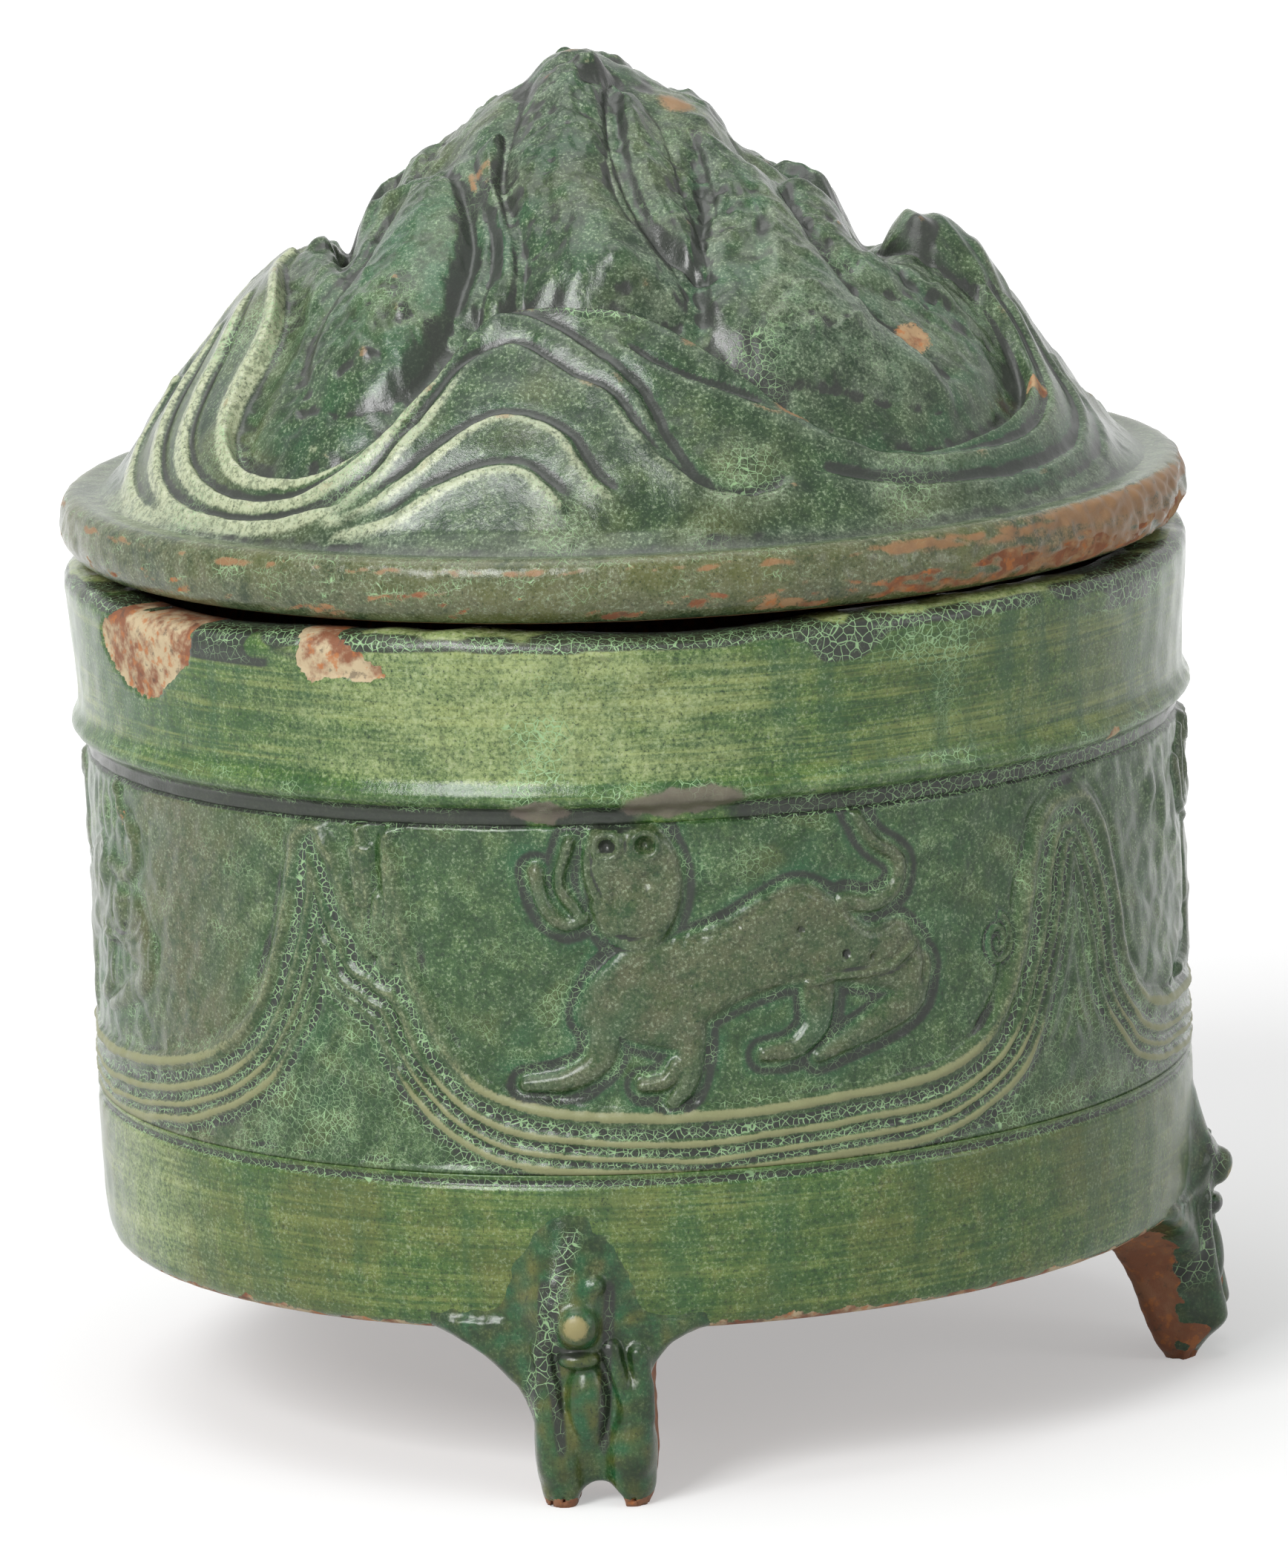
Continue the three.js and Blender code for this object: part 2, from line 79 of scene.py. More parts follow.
# The mouth, the bore and the foot as radius and height
mouth_profile = [
    (98.8, 146.4), (98.7, 147.6), (98.3, 148.6), (97.5, 149.4), (96.3, 149.9), (95, 150),
    (92.5, 150), (90.3, 149.9), (89, 149.2), (88.3, 147.6), (88, 145), (88, 132), (88, 115),
    (88, 98), (88, 80), (88, 62), (88, 48), (88, 38), (88, 31), (88.3, 29.6), (89.5, 29.5),
    (92, 29.5), (93.8, 29.5),
]
# Flakes off the mouth's glaze, as corners of azimuth and height
mouth_flakes = [
    [(-63, 150), (-49, 152), (-49.5, 144), (-52, 140), (-55.5, 135), (-60, 134.5), (-65, 138),
     (-67, 145)],
    [(-35, 150.5), (-30, 150), (-27.5, 147), (-25, 144.5), (-25.5, 142), (-30, 142.5), (-34, 143)],
]
# Where the mouth sags away from the lid, as azimuth, half width and depth
mouth_dips = [(-50, 20, 2.3), (7, 13, 1.5), (62, 16, 1.0), (150, 30, 0.8)]


def through(knots, place, period=None):
    """A smooth line through (place, value) knots, read at every place."""
    at, value = np.array(knots, float).T
    if period:
        place = at[0] + np.mod(place - at[0], period)
        at = np.concatenate([at[-2:] - period, at, at[:2] + period])
        value = np.concatenate([value[-2:], value, value[:2]])
    slope = np.empty_like(value)
    slope[1:-1] = (value[2:] - value[:-2]) / (at[2:] - at[:-2])
    slope[0] = (value[1] - value[0]) / (at[1] - at[0])
    slope[-1] = (value[-1] - value[-2]) / (at[-1] - at[-2])
    i = np.clip(np.searchsorted(at, place, side="right") - 1, 0, len(at) - 2)
    gap = at[i + 1] - at[i]
    t = np.clip((place - at[i]) / gap, 0, 1)
    ends = (1 + 2 * t) * (1 - t) ** 2 * value[i] + t * t * (3 - 2 * t) * value[i + 1]
    return ends + gap * (t * (1 - t) ** 2 * slope[i] - t * t * (1 - t) * slope[i + 1])


def eased(low, high, value):
    """0 below low and 1 above high, with a smooth rise between."""
    t = np.clip((value - low) / (high - low), 0, 1)
    return t * t * (3 - 2 * t)


def hump(value, width):
    """1 at 0, falling smoothly to nothing over about twice the width."""
    return np.exp(-((value / width) ** 2))


def rolling(x, y, z, wavelength, seed):
    """Smooth uneven waves, mostly between -1 and 1, always the same for a seed."""
    dice = np.random.default_rng(seed)
    total = 0
    for _ in range(12):
        way = dice.normal(size=3)
        way *= 2 * np.pi / (wavelength * dice.uniform(0.7, 1.6) * np.linalg.norm(way))
        total = total + np.sin(way[0] * x + way[1] * y + way[2] * z + dice.uniform(0, 6.28))
    return total / 3.6


def smooth_line(points, closed=False, step=1.5):
    """Points close together on a smooth line through the given ones."""
    points = np.array(points, float)
    if closed:
        points = np.vstack([points, points[:1]])
    along = np.concatenate([[0], np.cumsum(np.hypot(*np.diff(points, axis=0).T))])
    places = np.linspace(0, along[-1], max(2, int(along[-1] / step)) + 1)
    return np.stack([through(np.stack([along, way], 1), places) for way in points.T], 1)


def beside(line, u, v):
    """How far each point lies to the left of a line, and how far along the line, both in mm."""
    nearest = np.full(u.shape, 1e9)
    left = np.zeros(u.shape)
    along = np.zeros(u.shape)
    start = 0.0
    for (u0, v0), (u1, v1) in zip(line, line[1:]):
        length = math.hypot(u1 - u0, v1 - v0)
        if length == 0:
            continue
        du, dv = (u1 - u0) / length, (v1 - v0) / length
        t = np.clip((u - u0) * du + (v - v0) * dv, 0, length)
        off_u, off_v = u - u0 - t * du, v - v0 - t * dv
        away = np.hypot(off_u, off_v)
        near = away < nearest
        nearest[near] = away[near]
        left[near] = np.where(du * off_v - dv * off_u >= 0, away, -away)[near]
        along[near] = (start + t)[near]
        start += length
    return left, along, start


def inside(outline, u, v):
    """Depth of each point inside a closed outline in mm, and below 0 outside it."""
    ring = np.vstack([outline, outline[:1]])
    away = np.abs(beside(ring, u, v)[0])
    crossed = np.zeros(u.shape, bool)
    for (u0, v0), (u1, v1) in zip(ring, ring[1:]):
        if v0 != v1:
            over = (v0 > v) != (v1 > v)
            crossed ^= over & (u < (u1 - u0) * (v - v0) / (v1 - v0) + u0)
    return np.where(crossed, away, -away)


def around(line, u, v, margin):
    """Which points lie within a margin of a line's own box."""
    low, high = line.min(0) - margin, line.max(0) + margin
    return (u > low[0]) & (u < high[0]) & (v > low[1]) & (v < high[1])


def round_axis(azimuth, radius):
    """The x and y of places round the jar's axis, in mm."""
    return radius * np.sin(np.radians(azimuth)), -radius * np.cos(np.radians(azimuth))


def wrapped(azimuth):
    """The same azimuth between -180 and 180 degrees."""
    return np.mod(azimuth + 180, 360) - 180


def turned_skin(name, x, y, z, marks, poled=False):
    """A closed mesh through rows of points round the axis, from x, y and z in mm.

    Rows go up the outside and down the inside. With poles, the first and last rows close to a
    point, and otherwise the last row joins the first. Marks are values kept at each point."""
    rows, columns = x.shape
    points = np.stack([x + axis_x, y + axis_y, z], -1).reshape(-1, 3) / 1000
    index = np.arange(rows * columns).reshape(rows, columns)
    above = index[1:] if poled else np.roll(index, -1, 0)
    below = index[: len(above)]
    corners = [below, np.roll(below, -1, 1), np.roll(above, -1, 1), above]
    faces = np.stack(corners, -1).reshape(-1, 4).tolist()
    u = np.arange(columns) / columns
    v = np.arange(rows) / rows
    low_v, low_u = np.meshgrid(v[: len(above)], u, indexing="ij")
    spots = [(low_u, low_v), (low_u + 1 / columns, low_v)]
    spots += [(low_u + 1 / columns, low_v + 1 / rows), (low_u, low_v + 1 / rows)]
    places = np.stack([np.stack(spot, -1) for spot in spots], 2).reshape(-1, 2)
    if poled:
        first, last = len(points), len(points) + 1
        ends = [points[:columns].mean(0), points[-columns:].mean(0)]
        points = np.vstack([points, ends])
        ring = index[0].tolist()
        faces += [(first, b, a) for a, b in zip(ring, ring[1:] + ring[:1])]
        ring = index[-1].tolist()
        faces += [(last, a, b) for a, b in zip(ring, ring[1:] + ring[:1])]
        fans = []
        for edge, tip, order in ((0, 0, (1, 0)), (v[-1], v[-1] + 0.5 / rows, (0, 1))):
            for place in u:
                fans.append((place + 0.5 / columns, tip))
                fans += [(place + step / columns, edge) for step in order]
        places = np.vstack([places, fans])
    mesh = bpy.data.meshes.new(name)
    mesh.from_pydata(points.tolist(), [], faces)
    mesh.uv_layers.new(name="OFBake").data.foreach_set("uv", places.ravel())
    mesh.shade_smooth()
    for mark, values in marks.items():
        values = np.asarray(values, float).reshape(-1)
        if poled:
            values = np.concatenate([values, [values[0], values[-1]]])
        mesh.attributes.new(mark, "FLOAT", "POINT").data.foreach_set("value", values)
    piece = bpy.data.objects.new(name, mesh)
    bpy.context.scene.collection.objects.link(piece)
    return piece


def wall_finish(azimuth, height):
    """What the glaze does over the wall and the frieze, with painted highlight and sheen: marks from 0
    to 1 by azimuth and height.
    """
    x, y = round_axis(azimuth, wall_radius)
    uneven = rolling(x, y, height, 22, 11)
    patchy = rolling(x, y, height, 8, 12)

    def band(low, high, soft):
        return eased(low - soft, low, height) * (1 - eased(high, high + soft, height))

    def sector(middle, width):
        return hump(wrapped(azimuth - middle), width)

    upper, lower = band(*upper_band, 2), 1 - eased(55, 58, height)
    frieze = band(*frieze_band, 1.5)
    groove = band(*groove_band, 0.5) * (1 - sector(5, 6)) * (1 - 0.8 * sector(-9.5, 2.2))
    rim = band(*rim_band, 0.4) * np.clip(0.8 + 0.35 * patchy, 0.2, 1)
    drips = eased(0.3, 0.8, 0.3 * patchy + sector(61, 8) + 0.8 * sector(22, 4) + sector(-43, 7))
    drips *= band(143.5, 149, 2)
    crackle = 0.3 * frieze + 0.12 * eased(0.2, 1, uneven) + groove * (0.2 + 0.6 * sector(45, 38))
    crackle += rim + 0.6 * drips + band(143, 148, 5) * (0.45 * sector(27, 12) + 0.8 * sector(66, 14))
    crackle += band(125, 134, 2) * 0.9 * sector(-9.5, 3.5) + band(134, 144, 4) * 0.5 * sector(-9, 4)
    crackle += band(119.5, 124, 1) * (0.35 + 0.35 * patchy) + band(124, 145, 5) * 0.5 * sector(33, 7)
    crackle += 0.7 * band(54.8, 56.2, 0.8) + 0.2 * frieze * eased(0, 1, patchy)
    # Painted highlight: a broad lighter patch over the front of the upper band, and lighter towards the
    # left, where the lamps fall.
    thinned_and_lit = 0.56 * upper * sector(-8, 36) * (0.92 + 0.08 * patchy)
    thinned_and_lit += 0.5 * band(34, 58, 6) * sector(-66, 22) + 0.12 * upper * sector(-40, 22)
    thinned_and_lit = thinned_and_lit * (1 - 0.8 * band(119.5, 123.5, 0.8)) + band(149.1, 151, 0.3)
    olive = 0.75 * lower + 0.5 * upper * sector(48, 26) + 0.75 * frieze * sector(-56, 9)
    olive += 0.6 * band(137, 147, 4) * sector(-2, 24) + 0.35 * frieze * eased(0, 1, patchy)
    bead = band(*bead_band, 0.8)
    ragged = 0.35 * rolling(x, y, height, 3, 13)
    scar = np.maximum(
        hump(wrapped(azimuth - 4.5 - 0.6 * (height - 120)) / 6, 1) * hump(height - 120.6 - ragged, 2.6),
        hump(wrapped(azimuth + 9.5), 3) * hump(height - 119.3 - ragged, 2.0),
    )
    return {
        "pool_and_shade": np.clip(groove + rim + drips + 0.8 * band(55.1, 55.8, 0.5), 0, 1),
        "crackle": np.clip(crackle, 0, 1),
        "thinned_and_lit": np.clip(thinned_and_lit, 0, 1),
        "olive": np.clip(olive, 0, 1),
        # Painted sheen: a silvery grey over the bead and in patches over the frieze.
        "painted_sheen": np.clip(0.2 * bead + 0.06 * frieze * eased(-0.6, 0.8, uneven), 0, 1),
        "streak": np.clip(upper + 0.7 * lower, 0, 1),
        "edge": np.clip(1.4 * scar, 0, 1),
    }


def bare_spots(azimuth, height):
    """Where the clay shows on the wall, from 0 to 1, and how deep the glaze is missing in mm."""
    x, y = round_axis(azimuth, wall_radius)
    ragged = 0.5 * rolling(x, y, height, 4.5, 21) + 0.25 * rolling(x, y, height, 1.8, 22)
    bare = np.zeros(azimuth.shape)
    u = azimuth * arc_per_degree
    for corners in mouth_flakes:
        outline = smooth_line([(a * arc_per_degree, b) for a, b in corners], closed=True)
        near = around(outline, u, height, 4)
        depth = inside(outline, u[near], height[near]) + 1.3 * ragged[near]
        bare[near] = np.maximum(bare[near], eased(-0.3, 0.3, depth))
    sunk = flake_depth * bare
    foot = 1 - eased(29.6, 31.2, height + 0.9 * ragged)
    worn_bead = hump(height - 121, 1.6) * hump(wrapped(azimuth - 57), 1.3)
    bare = np.maximum(bare, 0.9 * foot)
    return np.clip(np.maximum(bare, 0.85 * worn_bead), 0, 1), sunk


azimuths = np.arange(wall_columns) / wall_columns * 360 - 180
outside_heights = np.concatenate([
    [29.5, 29.8, 30.2, 30.8, 31.6, 32.5], np.arange(33.5, 54, 1.0), np.arange(54, 57.8, 0.25),
    [60, 75, 90, 105, 114, 116.2], np.arange(116.8, 125, 0.35), np.arange(125.5, 146.4, 0.75),
])
row_radius = np.concatenate([through(wall_profile, outside_heights), [r for r, _ in mouth_profile]])
row_height = np.concatenate([outside_heights, [z for _, z in mouth_profile]])
outer_rows = len(outside_heights) + 8
azimuth, radius = np.meshgrid(azimuths, row_radius)
height = np.repeat(row_height[:, None], wall_columns, 1)
is_outside = (np.arange(len(row_height)) < outer_rows)[:, None] * np.ones(azimuth.shape)
x, y = round_axis(azimuth, radius)
bare, sunk = bare_spots(azimuth, height)
bare *= is_outside
radius -= sunk * is_outside
radius += is_outside * (0.12 * rolling(x, y, height, 55, 31) + 0.06 * rolling(x, y, height, 7, 32))
stuck_lump = wall_finish(azimuth, height)["edge"] * (0.7 + 0.3 * rolling(x, y, height, 3, 33))
radius += is_outside * 0.9 * stuck_lump * eased(-0.4, 1.2, 98.8 - radius)
height = height + 0.25 * rolling(x, y, 0, 60, 34) * eased(146, 149, height)
for middle, half, drop in mouth_dips:
    height = height - drop * hump(wrapped(azimuth - middle), half) * eased(132, 149, height)
height += 0.35 * is_outside * eased(148, 149.5, height) * rolling(x, y, height, 12, 35) - 0.1
height = np.minimum(height, mouth_height)
marks = wall_finish(azimuth, height)
marks = {mark: values * is_outside for mark, values in marks.items()}
marks["bare"] = np.where(is_outside > 0, bare, 1.0)
marks["inner"] = 1 - is_outside
jar_body = turned_skin("jar_body", *round_axis(azimuth, radius), height, marks)


class Flow:
    """One output of a material's nodes, so that shader maths reads as plain arithmetic."""

    def __init__(self, tree, socket):
        self.tree = tree
        self.socket = socket

    def node(self, kind, settings=None, inputs=None, output=0):
        """Adds a node: first its settings, then the values or links of its sockets."""
        made = self.tree.nodes.new(kind)
        for key, value in (settings or {}).items():
            setattr(made, key, value)
        for key, value in (inputs or {}).items():
            if isinstance(value, Flow):
                self.tree.links.new(value.socket, made.inputs[key])
            else:
                made.inputs[key].default_value = value
        return Flow(self.tree, made.outputs[output])

    def maths(self, operation, *others):
        """A Math node on this value and the others."""
        return self.node("ShaderNodeMath", {"operation": operation}, dict(enumerate((self, *others))))

    def __add__(self, other):
        return self.maths("ADD", other)

    __radd__ = __add__

    def __mul__(self, other):
        return self.maths("MULTIPLY", other)

    __rmul__ = __mul__

    def __sub__(self, other):
        return self.maths("SUBTRACT", other)

    def __rsub__(self, other):
        return self.node("ShaderNodeMath", {"operation": "SUBTRACT"}, {0: other, 1: self})

    def rise(self, low, high):
        """0 below low and 1 above high, smooth between. The ends may be swapped to fall."""
        inputs = {"Value": self, "From Min": low, "From Max": high}
        return self.node("ShaderNodeMapRange", {"interpolation_type": "SMOOTHSTEP"}, inputs)

    def between(self, first, second):
        """The first colour where this mask is 0 and the second where it is 1."""
        settings = {"data_type": "RGBA", "clamp_factor": True}
        return self.node("ShaderNodeMix", settings, {0: self, 6: first, 7: second}, output=2)

    def painted(self, colour, mask):
        """This colour with another laid over it where the mask is 1."""
        return mask.between(self, colour)

    def mark(self, name):
        """A value from 0 to 1 kept at each point of the mesh, and 0 where there is none."""
        return self.node("ShaderNodeAttribute", {"attribute_name": name}, output=2)

    def noise(self, size, detail=3.0, roughness=0.55, stretch=None, output=0):
        """Noise over this place, in mm, whose main features are about a size across."""
        place = self
        if stretch:
            place = self.node("ShaderNodeVectorMath", {"operation": "MULTIPLY"}, {0: self, 1: stretch})
        inputs = {"Vector": place, "Scale": 1 / size, "Detail": detail, "Roughness": roughness}
        return self.node("ShaderNodeTexNoise", {}, inputs, output)

    def net(self, size, width):
        """A net of cracks round cells of a size, half a width either side of 0, in mm."""
        inputs = {"Vector": self, "Scale": 1 / size}
        cell = self.node("ShaderNodeTexVoronoi", {"feature": "DISTANCE_TO_EDGE"}, inputs)
        return (cell * size).rise(width, width * 0.3)


def started(name):
    """A new material, its place in mm as a Flow and its shader."""
    material = bpy.data.materials.new(name)
    material.use_nodes = True
    tree = material.node_tree
    shader = tree.nodes["Principled BSDF"]
    start = Flow(tree, tree.nodes.new("ShaderNodeTexCoord").outputs["Object"])
    place = start.node("ShaderNodeVectorMath", {"operation": "SCALE"}, {0: start, "Scale": 1000.0})
    return material, place, shader


def connected(shader, place, colour, rough, bump):
    """Links a finish to its shader. The bump is a height in mm."""
    links = place.tree.links
    links.new(colour.socket, shader.inputs["Base Color"])
    links.new(rough.socket, shader.inputs["Roughness"])
    relief = place.node("ShaderNodeBump", {}, {"Height": bump, "Distance": 0.001, "Strength": 1.0})
    links.new(relief.socket, shader.inputs["Normal"])


# Colours of the clay and of what lies in the glaze, the same on every piece
clay_orange = (0.42, 0.15, 0.045, 1)
clay_speck = (0.06, 0.045, 0.03, 1)
fired_red = (0.22, 0.085, 0.04, 1)
glaze_black = (0.012, 0.03, 0.012, 1)
pool_and_shade_colour = (0.024, 0.027, 0.023, 1)
glaze_olive = (0.14, 0.145, 0.03, 1)
glaze_brown = (0.06, 0.042, 0.02, 1)
glaze_umber = (0.10, 0.098, 0.05, 1)
glaze_lush = (0.014, 0.095, 0.034, 1)
milky_glaze_and_highlight = (0.62, 0.62, 0.5, 1)
painted_sheen_colour = (0.22, 0.26, 0.20, 1)
glaze_speck = (0.36, 0.45, 0.30, 1)
glaze_crack = (0.31, 0.50, 0.25, 1)
turning_bright = (0.27, 0.31, 0.085, 1)
turning_dark = (0.022, 0.07, 0.018, 1)
turning_run = (0.03, 0.095, 0.03, 1)


def clay_colour(place, red, buff, plain=0.0):
    """Fired clay: red to buff in patches, fewer where plain, with orange stains and dark specks."""
    patch = place.noise(6, 5, 0.62)
    stain = place.noise(2.2, 4, 0.6)
    colour = (patch.rise(0.42, 0.6) * (1 - 0.8 * plain)).between(red, buff)
    colour = colour.painted(clay_orange, stain.rise(0.54, 0.64) * 0.75)
    return colour.painted(clay_speck, stain.rise(0.42, 0.32) * 0.6)


def lead_glaze(name, deep, mid, light, worn, thin_and_lit_colour, buff, speckle, net_size, thrown=False):
    """Green lead glaze, crazed and weathered. The piece's marks say where it pools or has gone, and
    where highlight, sheen and shade are painted.
    """
    material, place, shader = started(name)
    drift = place.noise(24, 2)
    cloud = place.noise(4.5, 7, 0.72)
    grain = place.noise(0.55, 3, 0.7)
    colour = (cloud * 0.8 + grain * 0.2).rise(0.36, 0.64).between(deep, mid)
    colour = colour.painted(light, (cloud * 0.55 + grain * 0.45).rise(0.5, 0.66) * 0.7)
    colour = colour.painted(deep, drift.rise(0.5, 0.68) * 0.5)
    mottle = place.noise(1.2, 5, 0.75)
    colour = colour.painted(glaze_black, mottle.rise(0.48, 0.36) * 0.6)
    colour = colour.painted(light, mottle.rise(0.54, 0.68) * 0.35)
    veil = cloud
    olive = place.mark("olive")
    colour = colour.painted(glaze_olive, olive * (drift + cloud * 0.5).rise(0.6, 0.95) * 0.75)
    colour = colour.painted(glaze_brown, olive * cloud.rise(0.52, 0.68) * 0.4)
    if thrown:
        lines = place.noise(0.9, 3, 0.7, stretch=(0.02, 0.02, 1))
        broad = place.noise(5, 3, 0.6, stretch=(0.06, 0.06, 1.0))
        runs = place.noise(6, 3, 0.6, stretch=(1, 1, 0.15))
        streak = place.mark("streak")
        veil = lines * 0.4 + broad * 0.6
        bright = streak * (lines * 0.55 + broad * 0.45).rise(0.47, 0.66)
        colour = colour.painted(turning_bright, bright * 0.6)
        colour = colour.painted(turning_dark, streak * lines.rise(0.49, 0.38) * 0.5)
        colour = colour.painted(turning_run, streak * runs.rise(0.48, 0.66) * 0.6)
    brown = place.mark("umber") * (cloud + grain * 0.3).rise(0.45, 0.75)
    colour = colour.painted(glaze_umber, brown * 0.85)
    lush = place.mark("lush") * (cloud + drift * 0.5).rise(0.55, 0.85)
    colour = colour.painted(glaze_lush, lush * 0.85)
    # Paler glaze where it ran thin, and painted highlight where light falls, with milky flecks in the
    # palest places.
    thinned_and_lit = place.mark("thinned_and_lit")
    thin_and_lit_mask = (thinned_and_lit * 1.4 + veil * 0.7 + grain * 0.5 - 1.0).rise(0.0, 0.5)
    colour = colour.painted(thin_and_lit_colour, thin_and_lit_mask * (0.35 + 0.42 * mottle.rise(0.42, 0.52)))
    colour = colour.painted(milky_glaze_and_highlight, thin_and_lit_mask * thinned_and_lit * mottle.rise(0.54, 0.66) * 0.45)
    # Painted sheen: silvery grey where the lamps would be reflected in the glaze.
    painted_sheen = place.mark("painted_sheen")
    colour = colour.painted(painted_sheen_colour, painted_sheen * (cloud + grain * 0.6).rise(0.6, 1.0) * 0.75)
    specks = grain.rise(0.53, 0.66) * (0.3 + cloud.rise(0.35, 0.6)) * speckle
    colour = colour.painted(glaze_speck, specks)
    colour = colour.painted(glaze_black, grain.rise(0.44, 0.32) * 0.75)
    # Dark where the glaze pooled, and painted shade on steep sides, along a crest and round the relief.
    pool_and_shade = place.mark("pool_and_shade")
    hollow = (pool_and_shade * 1.2 + cloud * 0.3 - 0.3).rise(0.15, 0.6)
    colour = colour.painted(pool_and_shade_colour, hollow * 0.92)
    shaken = place.noise(1.5, 1, output=1)
    shaken = shaken.node("ShaderNodeVectorMath", {"operation": "SCALE"}, {0: shaken, "Scale": 0.35})
    jitter = place.node("ShaderNodeVectorMath", {"operation": "ADD"}, {0: place, 1: shaken})
    crackle = place.mark("crackle")
    width = 0.03 + 0.065 * crackle.maths("POWER", 2.0)
    where = (crackle * 1.2 + drift * 0.4 + cloud * 0.7 - 0.9).rise(0.0, 0.6)
    fine = jitter.net(net_size * 0.5, width * 0.6) * (0.7 * cloud.rise(0.45, 0.6))
    net = jitter.net(net_size, width).maths("MAXIMUM", fine) * where
    colour = colour.painted(glaze_crack, net * 0.85)
    edge = place.mark("edge")
    rubbed = (edge * 1.3 + grain * 0.5 + cloud * 0.3 - 0.85).rise(0.05, 0.45)
    colour = colour.painted(worn, rubbed * 0.85)
    bare = place.mark("bare")
    gone = (bare + grain * 0.5 + cloud * 0.3 - 0.4).rise(0.44, 0.56)
    clay = clay_colour(place, fired_red, buff, place.mark("inner"))
    colour = colour.painted(clay, gone)
    rough = 0.08 + 0.14 * grain + 0.12 * painted_sheen + 0.5 * gone + 0.25 * rubbed
    height = 0.14 * cloud + 0.04 * grain - 0.03 * net - 0.1 * gone * grain
    connected(shader, place, colour, rough, height)
    shader.inputs["IOR"].default_value = 1.45
    return material


wall_glaze = lead_glaze(
    "wall_glaze",
    deep=(0.024, 0.08, 0.013, 1), mid=(0.08, 0.17, 0.033, 1), light=(0.20, 0.27, 0.07, 1),
    worn=(0.14, 0.115, 0.09, 1), thin_and_lit_colour=(0.37, 0.44, 0.18, 1),
    buff=(0.5, 0.4, 0.25, 1), speckle=0.3, net_size=1.5, thrown=True,
)
jar_body.data.materials.append(wall_glaze)
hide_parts("jar_wall")
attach(jar_body, "jar")

# Frieze. A strip pressed in a mould and luted into a shallow recess in the wall. Four raised
# lines run along the ground and up over the mountains, and a beast walks in each valley.
# The glaze is darker here, finely crazed, and dark in the grooves between the lines, with
# painted shade in a ring round each beast and scroll and a little painted sheen on the relief.
strip_radius = 96.35
strip_back = 94.2  # radius of the strip's back, inside the wall's recess
# The ground's line as azimuth and height, over the front half
ground_front = [
    (-90, 68), (-78, 67.5), (-68, 68), (-58, 70), (-51, 73), (-45.5, 78), (-42, 85), (-40, 93),
    (-38.5, 101), (-37.6, 108), (-36.8, 113.5), (-34, 116), (-29, 116.2), (-26, 114), (-25.3, 109),
    (-27, 104), (-29, 99), (-28.3, 95), (-26, 92.8), (-23.5, 91), (-22, 86), (-21, 81), (-19, 76),
    (-16, 71.5), (-10, 68.3), (-2, 67), (9, 66.8),
    (20, 68), (30, 69.3), (36, 73), (39, 78), (41, 85), (42.5, 93), (43.5, 101), (45, 108),
    (47.5, 112), (52, 112.3), (55, 108), (57, 100), (58.5, 90), (60, 81), (63, 74), (68, 70.5),
    (78, 69),
]
# Raised lines: how far each lies inside the ground's own line, and its half width
ground_ridges = [(0.4, 1.6), (4.9, 0.95), (7.8, 0.75), (10.3, 1.0)]
# Thinner lines inside those, over the mountains alone
mountain_arcs = [13.2, 16.4, 19.4]
# Each beast's azimuth, and how clearly it came out of the mould
beast_azimuths = {8: 1.0, 97: 0.9, 188: 1.0, -83: 0.55}
# Cloud scrolls, by azimuth
scroll_azimuths = [39, 219]
# Worn lumps of relief, as azimuth, height, half width, half height and how far each stands out
worn_lumps = [
    (67, 108, 3, 4, 0.9), (71, 101, 2, 5, 0.8), (76, 96, 4, 3, 0.8), (80, 88, 4, 6, 0.7),
    (-70, 99, 5, 6, 0.5), (-56, 92, 5, 8, 0.35),
]
# The beast's outlines, in mm across from the middle of its valley and up from the jar's soles
beast_body = [
    (-17, 96), (-9, 96.5), (0, 99), (8, 103), (14, 105), (20, 102), (26, 96.5), (33, 96.5), (37, 90),
    (35.5, 82), (30, 85), (19, 87.5), (10, 87.5), (-2, 83), (-6, 78), (-17, 80), (-24.5, 83), (-22.5, 90),
]
beast_head = [
    (-21, 117.5), (-16.5, 116), (-11, 117), (-7, 112), (-6, 105), (-8.5, 98), (-12, 95), (-17.5, 95.5),
    (-21.5, 101), (-23, 109),
]
# Limbs as a line, with the half width at its start and end
beast_limbs = [
    ([(-20, 84), (-21, 77), (-26, 73.5), (-34, 72.5)], 3.0, 1.3),
    ([(-6, 85), (-5.5, 78), (-6.5, 72), (-9, 69)], 3.2, 1.4),
    ([(-8, 75), (-10, 72.5), (-14, 72)], 1.6, 1.2),
    ([(17, 90), (17, 83), (16, 79.5), (12, 76.5), (7, 76)], 3.2, 1.3),
    ([(35, 88), (34, 83), (28, 79.5), (23, 77.5), (16.5, 75)], 3.4, 1.3),
    ([(22, 101), (27, 100), (32, 102.5), (32.5, 107), (27.5, 111), (24.5, 116)], 1.6, 1.0),
    ([(-31, 109), (-29.5, 103), (-26, 100), (-23, 101)], 1.5, 1.2),
    ([(-25, 114), (-27, 107), (-24, 102)], 1.1, 1.1),
]
# Thin raised lines that draw the back, the rump, the belly and the brow
beast_lines = [
    [(-9, 96.5), (0, 99), (8, 103), (14, 105), (19, 102.5)],
    [(23, 99), (27, 96.2), (33, 97), (37.5, 91), (37, 84)],
    [(10, 87.5), (19, 88), (30, 89), (36, 93)],
    [(-22, 116), (-22.5, 109), (-20, 103)],
]
ground_line = ground_front + [(a + 180, z) for a, z in ground_front]


